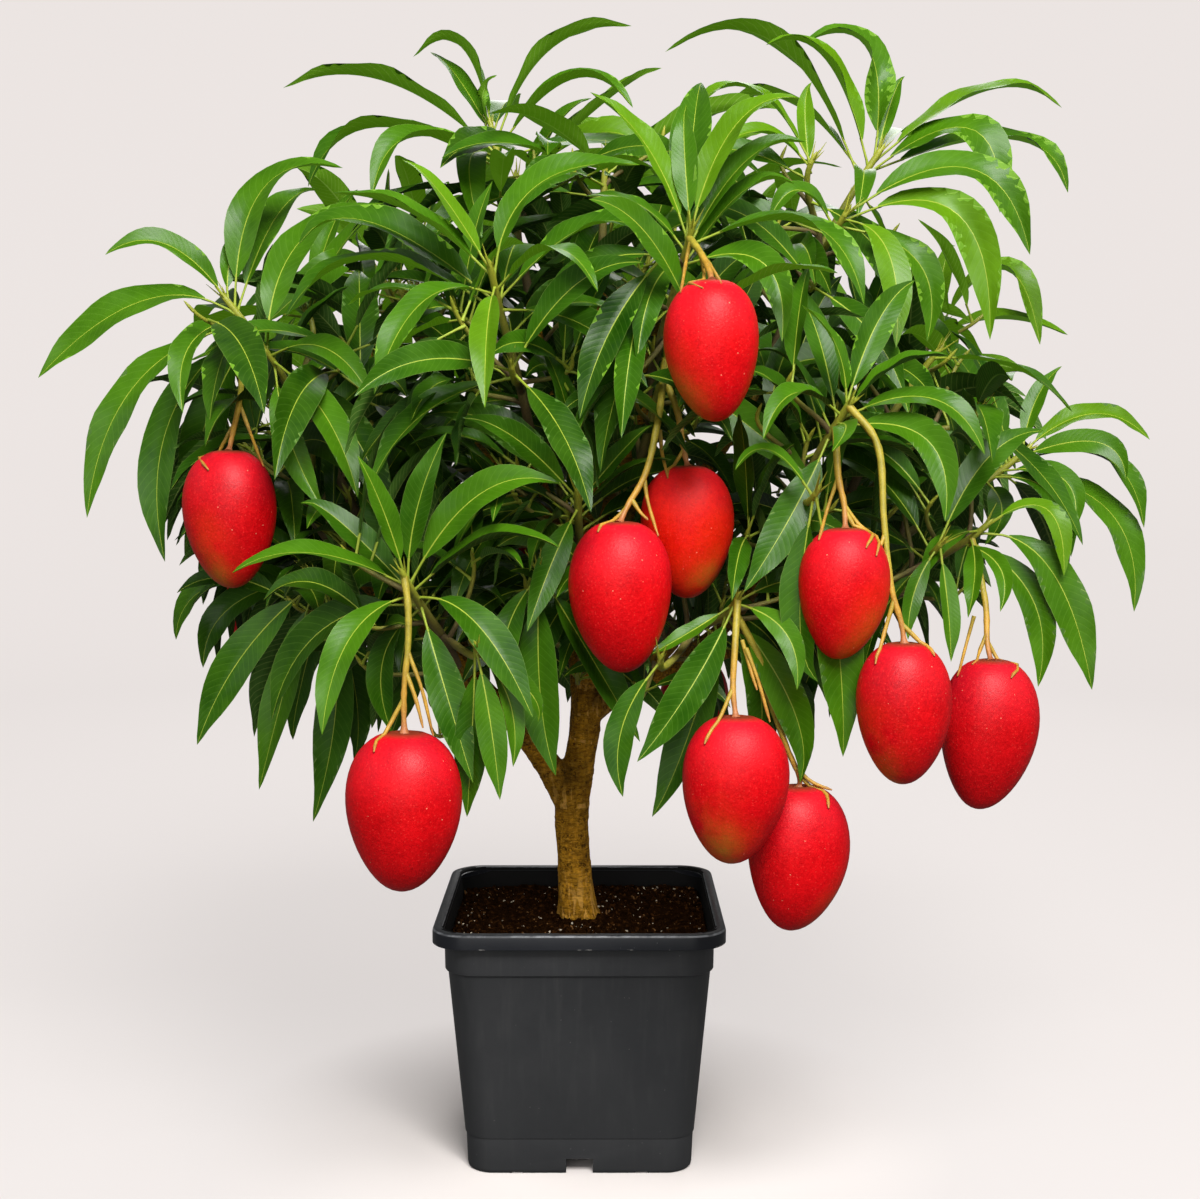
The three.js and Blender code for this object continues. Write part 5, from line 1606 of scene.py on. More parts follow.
twig_total = 0
for row in MASSES:
    name = row[0]
    draw = number_stream(row[6] + 300)
    lines = Lines()
    for shoot in shoots_of[name]:
        add_shoot(lines, shoot, draw)
    for number, spur in enumerate(spurs_of[name]):
        if (name, number) in leafy_spurs:
            add_shoot(lines, spur, draw, 0.9, 0)
    mesh = lines.tubes("twigs_" + name, 8, "green_twig")
    has_fruit = any(fruit[0] == name for fruit in FRUITS)
    add_piece("twigs_" + name, mesh, "bark", "foliage_" + name)
    twig_total += triangle_count(mesh)
print("triangles in twigs:", twig_total)

# %% [markdown]
# ## Fruit
#
# A mango is egg-shaped, a little flattened from front to back, with broad shoulders and a narrower
# foot that leans to one side. The stalk ends in a small cap in a shallow dimple. Dead side branches
# of the flower spray stay on the stalk and drape over the shoulders.

# %% Fruit bodies and stalks
FRUIT_ROWS = 26
FRUIT_AROUND = 40
FRUIT_DEPTH_SHARE = 0.88
FRUIT_WIDEST = math.log(0.5) / math.log(0.41)
FRUIT_FULLNESS = 0.48
DIMPLE_DEPTH = 0.030
DIMPLE_SHARE = 0.26


def fruit_half(down):
    """Half width at a share of the height below the top, as a share of the widest."""
    return math.sin(math.pi * down**FRUIT_WIDEST) ** FRUIT_FULLNESS if 0 < down < 1 else 0.0


def fruit_body(centre, width, height, lean, pale_turn, draw):
    top = vec(*centre) + UP * height / 2
    bumps = [next(draw) * 2 * math.pi for _ in range(3)]
    points, shoulder, pale = [], [], []
    for row in range(FRUIT_ROWS + 1):
        down = 0.5 - 0.5 * math.cos(math.pi * row / FRUIT_ROWS)
        half = fruit_half(down) * width / 2
        sag = lean * 3.2 * max(0, down - 0.35) ** 2
        for k in range(FRUIT_AROUND if 0 < row < FRUIT_ROWS else 1):
            angle = -2 * math.pi * k / FRUIT_AROUND
            swell = 1 + 0.012 * math.sin(2 * angle + bumps[0]) + 0.010 * math.sin(3 * angle + bumps[1])
            swell += 0.008 * math.sin(5 * down + angle + bumps[2])
            x, y = half * swell * math.cos(angle), half * swell * FRUIT_DEPTH_SHARE * math.sin(angle)
            reach = 2 * half / width
            dip = DIMPLE_DEPTH * height * max(0, 1 - reach / DIMPLE_SHARE) ** 1.5 if down < 0.3 else 0
            points.append(top + vec(x + sag, y, -down * height - dip))
            shoulder.append(max(0, 1 - down / 0.45))
            facing = math.cos(angle - math.radians(pale_turn))
            pale.append(min(max(0.62 * facing + 1.25 * (down - 0.52), 0), 1))
    quads, tris = [], []
    for row in range(FRUIT_ROWS - 2):
        for k in range(FRUIT_AROUND):
            n = (k + 1) % FRUIT_AROUND
            here, there = 1 + row * FRUIT_AROUND, 1 + (row + 1) * FRUIT_AROUND
            quads.append((here + k, here + n, there + n, there + k))
    last = len(points) - 1
    for k in range(FRUIT_AROUND):
        n = (k + 1) % FRUIT_AROUND
        tris.append((0, 1 + n, 1 + k))
        tris.append((last, last - FRUIT_AROUND + k, last - FRUIT_AROUND + n))
    return np.array(points), np.array(quads), np.array(tris), shoulder, pale


# The stalks of the front fruit, as their line shows in the picture frame, shoot end first, and
# their side branches as lines in the frame; a branch takes its depth from the stalk where it parts.
FRONT_STALKS = {
    0: ([(250, 338), (243, 362), (240, 398), (233, 432), (231, 452)],
        [[(239, 402), (250, 432), (263, 466)], [(236, 420), (222, 446), (209, 470)]]),
    1: ([(405, 578), (408, 606), (408, 645), (404, 692), (403, 738)],
        [[(408, 652), (422, 690), (433, 736)], [(403, 700), (388, 728), (374, 752)], [(406, 672), (416, 700), (423, 728)]]),
    2: ([(692, 236), (700, 252), (709, 270), (711, 285)],
        [[(690, 242), (686, 262), (681, 292)], [(703, 256), (712, 268), (721, 283)], [(700, 252), (704, 272), (703, 288)]]),
    3: ([(673, 372), (677, 410), (683, 446), (687, 470)],
        [[(660, 430), (662, 452), (667, 474)], [(684, 450), (676, 462), (668, 478)]]),
    4: ([(664, 356), (658, 420), (646, 472), (628, 505), (620, 524)],
        [[(644, 476), (648, 502), (658, 536)], [(626, 508), (616, 518), (598, 532)], [(632, 500), (640, 512), (648, 520)]]),
    5: ([(841, 432), (838, 474), (844, 504), (846, 532)],
        [[(838, 478), (827, 510), (819, 540)], [(845, 506), (862, 530), (876, 556)], [(846, 512), (856, 530), (866, 548)]]),
    6: ([(864, 418), (878, 446), (884, 520), (891, 585), (901, 622), (905, 645)],
        [[(894, 600), (884, 634), (876, 664)], [(902, 624), (920, 642), (934, 656)], [(885, 534), (880, 546), (874, 554)]]),
    7: ([(988, 560), (985, 600), (987, 640), (986, 662)],
        [[(974, 616), (966, 645), (958, 676)], [(987, 640), (998, 660), (1011, 678)], [(986, 636), (980, 650), (976, 664)]]),
    8: ([(740, 602), (735, 646), (733, 688), (736, 720)],
        [[(732, 690), (718, 722), (705, 744)], [(746, 648), (758, 680), (770, 722)], [(742, 640), (750, 668), (757, 690)]]),
    9: ([(747, 622), (760, 660), (770, 700), (787, 748), (799, 776), (801, 792)],
        [[(794, 766), (812, 782), (832, 790)], [(799, 776), (814, 790), (828, 808)]]),
}


def add_front_stalk(lines, fruit, shoots, draw, path, branches):
    """A stalk and its branches from their lines in the frame, hung between shoot and fruit."""
    _, centre, width, height, *_ = fruit
    top = vec(*centre) + UP * height / 2
    places = [shoot.built_place(share) for shoot in shoots for share in np.linspace(0.5, 1, 11)]
    seen = frame_places(np.array(places))
    root = places[int(np.linalg.norm(seen - np.array(path[0]), axis=1).argmin())]
    marks = np.array(path, float)
    drops = (marks[:, 1] - marks[0, 1]) / (marks[-1, 1] - marks[0, 1])
    depths = root[1] + (top[1] - root[1]) * drops**0.7
    knots = [root] + [seen_at(u, v, depth) for (u, v), depth in zip(path[1:-1], depths[1:-1])]
    knots += [top - UP * 0.018 * height]
    points = smooth_path(knots, 30)
    shares = np.linspace(0, 1, len(points))
    radii = 2.9 - 1.0 * shares + np.array([0.7 * (next(draw) - 0.5) ** 3 * 4 for _ in shares])
    radii[-4:] = (1.9, 2.0, 2.5, 3.9)
    travelled = np.concatenate([[0], np.cumsum(np.linalg.norm(np.diff(points, axis=0), axis=1))])
    lines.add(points, radii, np.clip(1 - (travelled[-1] - travelled) / 70, 0, 1))
    for branch in branches:
        marks = np.array(branch, float)
        part = np.interp(marks[0, 1], np.array(path, float)[:, 1], depths)
        depths_here = part - 4.0 * np.arange(len(branch))
        knots = [on_skin(u, v, depth, fruit) for (u, v), depth in zip(branch, depths_here)]
        line = [outside_fruit(place, centre, width, height) for place in smooth_path(knots, 9)]
        sizes = np.linspace(1.55, 0.95, len(line)) + np.array([0.35 * (next(draw) - 0.5) for _ in line])
        sizes[-1] = 0.5
        lines.add(line, sizes * 1.12, np.linspace(0.2, 0.85, len(line)))


def on_skin(right, down, depth, fruit):
    """The place at this point of the frame that rests on the fruit, or stands at the depth beside it."""
    _, centre, width, height, *_ = fruit
    reach = FRUIT_DEPTH_SHARE * width / 2
    for near in np.arange(centre[1] - reach - 2, centre[1], 0.5):
        place = seen_at(right, down, near)
        share = (centre[2] + height / 2 - place[2]) / height
        off = math.hypot(place[0] - centre[0], (place[1] - centre[1]) / FRUIT_DEPTH_SHARE)
        if 0.03 < share < 0.9 and off < fruit_half(share) * width / 2 + 1.0:
            return place
    return seen_at(right, down, depth)


def smooth_path(knots, count):
    """A smooth line through the knots, in equal steps of their numbering."""
    knots = [2 * knots[0] - knots[1]] + list(knots) + [2 * knots[-1] - knots[-2]]
    points = []
    for place in np.linspace(0, len(knots) - 3, count):
        k = min(int(place), len(knots) - 4)
        t = place - k
        a, b, c, d = knots[k : k + 4]
        points.append(0.5 * (2 * b + (c - a) * t + (2 * a - 5 * b + 4 * c - d) * t * t
                             + (3 * b - a - 3 * c + d) * t**3))
    return np.array(points)


def add_stalk(lines, fruit, shoots, draw):
    """The stalk from the nearest shoot, its cap, and the dead side branches."""
    _, centre, width, height, _, lean, _ = fruit
    top = vec(*centre) + UP * height / 2
    tips = [shoot.built_place(0.9) for shoot in shoots]
    start = min(tips, key=lambda tip: np.linalg.norm(tip - top))
    outward = unit(vec(top[0] - start[0], top[1] - start[1], 0))
    seat = top - UP * 0.12 * height
    sweep = Sweep(start, unit(outward + 0.1 * UP), seat, -UP, 0.3)
    shares = np.linspace(0, 1, 16)
    length = sweep.length()
    end = 1 - 0.105 * height / length
    shares = shares * end
    bend = [0.9 * (next(draw) - 0.5) for _ in shares]
    points = [sweep.point(s) + vec(b, -b, 0) for s, b in zip(shares, bend)]
    radii = [2.7 - 0.75 * s + 0.25 * (next(draw) - 0.5) for s in shares]
    radii[-3:] = [2.1, 2.5, 3.6]
    ripe = [min(max((length * (1 - s)) / 75, 0), 1) for s in shares]
    lines.add(points, radii, [1 - r for r in ripe])
    for i in range(4):
        share = end * (0.42 + 0.15 * i + 0.08 * next(draw))
        root = sweep.point(share)
        angle = next(draw) * 2 * math.pi if i % 2 else next(draw) * math.pi + math.pi
        out = vec(math.cos(angle), math.sin(angle), 0)
        reach = 13 + 17 * next(draw)
        drop = reach * (1.1 + 0.9 * next(draw))
        clear = vec(0, 0, 0)
        steps = [root + out * reach * a - UP * drop * b + clear for a, b in ((0, 0), (0.28, 0.3), (0.62, 0.62), (0.9, 0.9), (1, 1))]
        steps = [outside_fruit(step, centre, width, height) for step in steps]
        lines.add(steps, (1.5, 1.25, 1.05, 1.15, 0.7), (0.35, 0.3, 0.25, 0.5, 0.6))


def outside_fruit(place, centre, width, height):
    """A place moved level with itself until it lies just outside the fruit's skin."""
    down = (centre[2] + height / 2 - place[2]) / height
    half = fruit_half(down) * width / 2 + 1.2
    off = place - vec(centre[0], centre[1], place[2])
    off[1] /= FRUIT_DEPTH_SHARE
    length = np.linalg.norm(off)
    if down <= 0.02 or length >= half:
        return place
    off = off * half / max(length, 1e-6)
    off[1] *= FRUIT_DEPTH_SHARE
    return vec(centre[0] + off[0], centre[1] + off[1], place[2])


FRUIT_SKINS = ["fruit_crimson", "fruit_scarlet", "fruit_deep_red"]
for row in MASSES:
    name = row[0]
    own = [fruit for fruit in FRUITS if fruit[0] == name]
    if not own:
        continue
    draw = number_stream(row[6] + 700)
    lines = Lines()
    points, quads_in, tris_in, slots, shoulder, pale = [], [], [], [], [], []
    tri_slot = []
    count = 0
    for fruit in own:
        body = fruit_body(fruit[1], fruit[2], fruit[3], fruit[5], fruit[6], draw)
        points.append(body[0])
        quads_in.append(body[1] + count)
        tris_in.append(body[2] + count)
        slots += [FRUIT_SKINS.index(fruit[4])] * len(body[1])
        tri_slot += [FRUIT_SKINS.index(fruit[4])] * len(body[2])
        shoulder += body[3]
        pale += body[4]
        count += len(body[0])
        number = FRUITS.index(fruit)
        if number in FRONT_STALKS:
            add_front_stalk(lines, fruit, shoots_of[name], draw, *FRONT_STALKS[number])
        else:
            add_stalk(lines, fruit, shoots_of[name], draw)
    mesh = mesh_from("fruit_" + name, np.concatenate(points), [np.concatenate(quads_in), np.concatenate(tris_in)])
    set_faces(mesh, FRUIT_SKINS, slots + tri_slot)
    set_values(mesh, "shoulder", shoulder)
    set_values(mesh, "pale_side", pale)
    add_piece("fruit_" + name, mesh, "fruiting_foliage", "foliage_" + name)
    stalks = lines.tubes("fruit_stalks_" + name, 9, "fruit_stalk")
    add_piece("fruit_stalks_" + name, stalks, "fruiting_foliage", "foliage_" + name)
print("fruit:", len(FRUITS))

# %% [markdown]
# ## Trunk and boughs
#
# The trunk and the boughs grow into one another with soft collars, so they are built as plain tubes
# first and then remeshed together into one skin. Small lumps, rings and the ribs of the root flare
# are pushed out of that skin, and the crotches are coloured darker.

# %% Bark skin
BARK_VOXEL = 0.0017
TRUNK_AROUND = 40
BOUGH_AROUND = 14
BOUGH_LOOK = 1.14
ROOT_TURN = math.radians(18)
ROOT_LOOK = 0.91
ROOT_SHIFT = -2.4


def trunk_rings():
    rings = []
    for row, (height, x, y, radius) in enumerate(TRUNK_STATIONS):
        flare = max(0, 1 - row / 4)
        for k in range(TRUNK_AROUND):
            angle = 2 * math.pi * k / TRUNK_AROUND
            lobe = 1 + ROOT_LOBE_DEPTH * flare * math.cos(ROOT_LOBES * (angle - ROOT_TURN) / 2) ** 2
            reach = radius * lobe * (1 + (ROOT_LOOK - 1) * flare)
            rings.append(vec(x + ROOT_SHIFT * flare, y, height) + reach * vec(math.cos(angle), math.sin(angle), 0))
    return rings, len(TRUNK_STATIONS), TRUNK_AROUND


def bough_rings(limb, parent_radius):
    shares = np.linspace(0, 1, 17)
    rings = []
    side = None
    for share in shares:
        middle, way, radius = limb.look_up(share)
        side = unit(square_to(level_side(way) if side is None else side, way))
        over = np.cross(way, side)
        distance = np.linalg.norm(middle - limb.look_up(0)[0])
        collar = 1 + 0.16 * math.exp(-((distance / (2.6 * parent_radius)) ** 2))
        for k in range(BOUGH_AROUND):
            angle = 2 * math.pi * k / BOUGH_AROUND
            rings.append(middle + radius * collar * BOUGH_LOOK * (side * math.cos(angle) + over * math.sin(angle)))
    return rings, len(shares), BOUGH_AROUND


def closed_tube(rings, count, around, first):
    faces = [tuple(first + i for i in face) for face in loft_faces(count, around)]
    start = [first + k for k in range(around)]
    end = [first + (count - 1) * around + k for k in range(around)]
    return faces + [tuple(start[::-1]), tuple(end)]


skin_points, skin_faces = [], []
pieces = [trunk_rings()]
for name, parent, at, *_ in MASSES:
    pieces.append(bough_rings(limbs[name], limbs[parent].look_up(at)[2]))
for rings, count, around in pieces:
    skin_faces += closed_tube(rings, count, around, len(skin_points))
    skin_points += [tuple(point * MM) for point in rings]
tubes = bpy.data.meshes.new("bark_tubes")
tubes.from_pydata(skin_points, [], skin_faces)
holder = bpy.data.objects.new("bark_holder", tubes)
bpy.context.collection.objects.link(holder)
remesh = holder.modifiers.new("skin", "REMESH")
remesh.mode = "VOXEL"
remesh.voxel_size = BARK_VOXEL
soften = holder.modifiers.new("soften", "SMOOTH")
soften.factor = 0.5
soften.iterations = 4
depsgraph = bpy.context.evaluated_depsgraph_get()
bark = bpy.data.meshes.new_from_object(holder.evaluated_get(depsgraph), depsgraph=depsgraph)
bpy.data.objects.remove(holder)
bark.name = "trunk_and_boughs"
print("bark skin:", len(bark.vertices), "corners,", triangle_count(bark), "triangles")

# %% Relief, rings and stains of the bark
LUMP_HEIGHT = 0.00045
RING_HEIGHT = 0.0005
RING_SPACING = 0.021

line_marks, line_data = [], []
for name, limb in limbs.items():
    start = limb.look_up(0)[0]
    travelled, last = 0.0, start
    for share in np.linspace(0, 1, 60):
        middle, way, radius = limb.look_up(share)
        travelled += np.linalg.norm(middle - last)
        last = middle
        line_marks.append(middle)
        line_data.append((travelled * MM, radius * MM))
line_tree = KDTree(len(line_marks))
for i, mark in enumerate(line_marks):
    line_tree.insert(mark * MM, i)
line_tree.balance()

forks = []
for name, parent, at, *_ in MASSES:
    root, root_way, root_radius = limbs[parent].look_up(at)
    start_way = limbs[name].sweep.way(0.05)
    forks.append(((root + unit(root_way + start_way) * root_radius * 1.5) * MM, root_radius * MM))

co = np.zeros(len(bark.vertices) * 3, np.float32)
bark.vertices.foreach_get("co", co)
co = co.reshape(-1, 3).astype(float)
normals = np.zeros(len(bark.vertices) * 3, np.float32)
bark.vertices.foreach_get("normal", normals)
normals = normals.reshape(-1, 3)
nearest = np.array([line_tree.find(point)[1] for point in co])
data = np.array(line_data)[nearest]
along, girth = data[:, 0], data[:, 1]
crotch = np.zeros(len(co))
for place, radius in forks:
    crotch = np.maximum(crotch, np.exp(-((np.linalg.norm(co - place, axis=1) / (radius * 1.1)) ** 2)))
lumps = np.array([noise.noise(point * 70) + 0.5 * noise.noise(point * 210) for point in co])
rings = np.cos(2 * math.pi * along / RING_SPACING + 2.5 * lumps) ** 16
size = np.clip(girth / 0.012, 0.3, 1.0)
push = (LUMP_HEIGHT * lumps + RING_HEIGHT * rings * (lumps + 0.6)) * size
push = np.where(co[:, 2] < 0.2012, 0.0, push)
co += normals * push[:, None]
co[:, 2] = np.maximum(co[:, 2], 0.2003)
bark.vertices.foreach_set("co", co.astype(np.float32).ravel())
set_faces(bark, ["young_bark"])
set_values(bark, "along", along)
set_values(bark, "girth", girth)
set_values(bark, "crotch", crotch)
add_piece("trunk_and_boughs", bark, "bark", "trunk", *["bough_" + row[0] for row in MASSES])
print("bark pushed by", round(float(push.min()) * 1000, 2), "to", round(float(push.max()) * 1000, 2), "mm")

# %% [markdown]
# ## Pot
#
# A square nursery pot is a thin tapering shell with round corners: a turned-over lip, a band under
# it, a small step above the foot and notches that let water out. One outline of half widths, corner
# radii and heights is carried round the square, and the notches and drain holes are cut away.

# %% Pot shell
POT_HEIGHT = 217
RIM_HALF = 125
RIM_DEPTH = 13
RIM_SKIN = 2.4
BAND_HALF = 115
BAND_BOTTOM = 178
BODY_TOP_HALF = 112.5
BODY_FOOT_HALF = 99.6
FOOT_STEP_HEIGHT = 31.6
FOOT_STEP = 1
BASE_HALF = 97.5
WALL = 2.2
FLOOR_UNDERSIDE = 14
FLOOR_TOP = 17
FOOT_RING_WIDTH = 5
BOSS_HALF = 22
SOIL_LEVEL = 200
CORNER_STEPS = 14
NOTCHES = [(0, 23, 13.4), (-53.5, 10, 2), (53.5, 10, 2)]
DRAIN_RADIUS = 7
DRAIN_PLACE = 56

skirt = POT_HEIGHT - RIM_DEPTH
POT_OUTLINE = [
    (BOSS_HALF, 10, 0), (BOSS_HALF + 1, 10.5, FLOOR_UNDERSIDE),
    (BASE_HALF - 3 - FOOT_RING_WIDTH, 17, FLOOR_UNDERSIDE), (BASE_HALF - 2.5 - FOOT_RING_WIDTH, 17.5, 0),
    (BASE_HALF - 3.2, 20.6, 0), (BASE_HALF - 1.6, 21.8, 0.4), (BASE_HALF - 0.5, 22.6, 1.7), (BASE_HALF, 23, 4),
    (BODY_FOOT_HALF - FOOT_STEP, 23.4, FOOT_STEP_HEIGHT - 0.5), (BODY_FOOT_HALF - FOOT_STEP, 23.4, FOOT_STEP_HEIGHT),
    (BODY_FOOT_HALF - 0.15, 24, FOOT_STEP_HEIGHT + 0.35), (BODY_FOOT_HALF, 24, FOOT_STEP_HEIGHT + 0.9),
    (BODY_TOP_HALF, 27, BAND_BOTTOM - 0.6), (BODY_TOP_HALF + 0.3, 27.1, BAND_BOTTOM - 0.1),
    (BAND_HALF - 0.4, 28, BAND_BOTTOM + 0.9), (BAND_HALF, 28, BAND_BOTTOM + 1.8),
    (BAND_HALF + 0.5, 28, POT_HEIGHT - RIM_SKIN - 0.6), (BAND_HALF + 1.2, 28, POT_HEIGHT - RIM_SKIN),
    (RIM_HALF - RIM_SKIN - 0.6, 28.6, POT_HEIGHT - RIM_SKIN), (RIM_HALF - RIM_SKIN, 28.6, POT_HEIGHT - RIM_SKIN - 0.6),
    (RIM_HALF - RIM_SKIN, 28.6, skirt + 0.4), (RIM_HALF - RIM_SKIN + 0.4, 28.8, skirt),
    (RIM_HALF - 0.4, 29.8, skirt), (RIM_HALF, 30, skirt + 0.4),
    (RIM_HALF, 30, POT_HEIGHT - 3.0), (RIM_HALF - 0.25, 29.9, POT_HEIGHT - 1.6), (RIM_HALF - 0.9, 29.6, POT_HEIGHT - 0.55),
    (RIM_HALF - 2.0, 29.2, POT_HEIGHT - 0.05), (RIM_HALF - 5.0, 28.0, POT_HEIGHT), (RIM_HALF - 7.4, 26.6, POT_HEIGHT - 0.1),
    (RIM_HALF - 8.6, 26.3, POT_HEIGHT - 0.9), (RIM_HALF - 9.3, 26.1, POT_HEIGHT - 2.4),
    (BAND_HALF - WALL, 26, SOIL_LEVEL - 2), (BODY_FOOT_HALF - WALL, 22, FOOT_STEP_HEIGHT), (BASE_HALF - WALL, 21, FLOOR_TOP),
]


def rounded_square(half, corner, height, steps=CORNER_STEPS):
    """A square with round corners, counter-clockwise from above."""
    ring = []
    for quarter in range(4):
        turn = quarter * math.pi / 2
        middle = half - corner
        cx = middle * (math.cos(turn) - math.sin(turn))
        cy = middle * (math.sin(turn) + math.cos(turn))
        for i in range(steps + 1):
            angle = turn + i * math.pi / (2 * steps)
            ring.append(vec(cx + corner * math.cos(angle), cy + corner * math.sin(angle), height))
    return ring


def pot_shell():
    around = 4 * (CORNER_STEPS + 1)
    rings = [point for row in POT_OUTLINE for point in rounded_square(*row)]
    mesh = bpy.data.meshes.new("pot")
    mesh.from_pydata([tuple(p * MM) for p in rings], [], closed_tube(rings, len(POT_OUTLINE), around, 0))
    return mesh


def cutter_mesh():
    """Blocks for the notches of all four sides and short posts for the drain holes."""
    points, faces = [], []
    for quarter in range(4):
        turn = quarter * math.pi / 2
        out, over = vec(math.cos(turn), math.sin(turn), 0), vec(-math.sin(turn), math.cos(turn), 0)
        for place, width, height in NOTCHES:
            middle = out * (BASE_HALF - FOOT_RING_WIDTH) + over * place
            first = len(points)
            for z in (-height, height):
                points += [middle + out * a * 12 + over * b * width / 2 + UP * z for a, b in ((-1, -1), (1, -1), (1, 1), (-1, 1))]
            faces += closed_tube(None, 2, 4, first)
        angle = turn + math.pi / 4
        middle = vec(math.cos(angle), math.sin(angle), 0) * DRAIN_PLACE
        first = len(points)
        for z in (FLOOR_UNDERSIDE - 3, FLOOR_TOP + 3):
            points += [middle + DRAIN_RADIUS * vec(math.cos(a), math.sin(a), 0) + UP * z for a in np.arange(24) * math.pi / 12]
        faces += closed_tube(None, 2, 24, first)
    mesh = bpy.data.meshes.new("pot_cutter")
    mesh.from_pydata([tuple(p * MM) for p in points], [], faces)
    return mesh


shell = bpy.data.objects.new("pot_shell", pot_shell())
cutter = bpy.data.objects.new("pot_cutter", cutter_mesh())
for thing in (shell, cutter):
    bpy.context.collection.objects.link(thing)
cut = shell.modifiers.new("notches", "BOOLEAN")
cut.object = cutter
cut.operation = "DIFFERENCE"
cut.solver = "EXACT"
depsgraph = bpy.context.evaluated_depsgraph_get()
pot = bpy.data.meshes.new_from_object(shell.evaluated_get(depsgraph), depsgraph=depsgraph)
bpy.data.objects.remove(shell)
bpy.data.objects.remove(cutter)
INSIDE_EDGE = RIM_HALF - 8.4
middles = np.array([face.center for face in pot.polygons]) / MM
inside = (np.abs(middles[:, :2]).max(1) < INSIDE_EDGE) & (middles[:, 2] > FLOOR_TOP - 0.5)
outward = np.array([face.normal for face in pot.polygons])
inside &= (outward[:, :2] * middles[:, :2]).sum(1) <= 0
# Faces inside the pot above its floor take the inside material of painted shade.
set_faces(pot, ["charcoal_plastic", "pot_inside"], inside.astype(int))
pot.set_sharp_from_angle(angle=math.radians(38))
pot.name = "pot_body"
add_piece("pot_body", pot, "pot_plastic", "pot")
print("pot:", triangle_count(pot), "triangles")

# %% [markdown]
# ## Soil
#
# The mix is a crumbly bed. A rough surface carries the shape, and three scatters of small grains
# make it real: dark crumbs, chips of bark and white perlite. Geometry Nodes drop each kind on the
# bed with its own count, size and seed, and the grains are then made real.

# %% Soil bed
BED_STEPS = 90
BED_HALF = 112.2
BED_CORNER = 25.5


def bed_height(x, y):
    """How high the soil stands: a little mound round the stem, hollows and crumbs elsewhere."""
    away = math.hypot(x, y)
    rough = 2.6 * noise.noise(vec(x * 0.03, y * 0.03, 0.3)) + 1.5 * noise.noise(vec(x * 0.09, y * 0.09, 4.1))
    crumbs = 2.6 * noise.noise(vec(x * 0.19, y * 0.19, 9.2))
    mound = 4.2 * math.exp(-((away / 36) ** 2))
    heaps = 3.4 * noise.noise(vec(x * 0.16, y * 0.16, 5.5)) * math.exp(-(((away - 21) / 7) ** 2))
    return 198.4 + mound + rough + crumbs + heaps


def soil_bed():
    rings = []
    shares = np.linspace(0, 1, 46) ** 0.9
    outline = rounded_square(BED_HALF, BED_CORNER, 0, 11)
    dense = []
    for a, b in zip(outline, outline[1:] + outline[:1]):
        pieces = max(1, round(np.linalg.norm(b - a) / 3.6))
        dense += [a + (b - a) * i / pieces for i in range(pieces)]
    around = len(dense)
    points = [vec(0, 0, bed_height(0, 0))]
    for share in shares[1:]:
        for place in dense:
            x, y = place[0] * share, place[1] * share
            points.append(vec(x, y, bed_height(x, y)))
    rim = len(points) - around
    for depth, half in ((60, 107.5), (SOIL_LEVEL - FLOOR_TOP - 0.6, 94.5)):
        for place in dense:
            points.append(vec(place[0] * half / BED_HALF, place[1] * half / BED_HALF, SOIL_LEVEL - depth))
    faces = [(0, 1 + k, 1 + (k + 1) % around) for k in range(around)]
    for row in range(len(shares) - 2 + 2):
        for k in range(around):
            n = (k + 1) % around
            here, there = 1 + row * around, 1 + (row + 1) * around
            faces.append((here + k, there + k, there + n, here + n))
    last = 1 + (len(shares) - 2 + 2) * around
    faces.append(tuple(last + k for k in range(around))[::-1])
    mesh = bpy.data.meshes.new("soil_bed")
    mesh.from_pydata([tuple(p * MM) for p in points], [], faces)
    return mesh, around, len(shares)


bed, bed_around, bed_rows = soil_bed()
set_faces(bed, ["soil_mix"])
add_piece("soil_bed", bed, "potting_soil", "soil")
print("soil bed:", triangle_count(bed), "triangles")


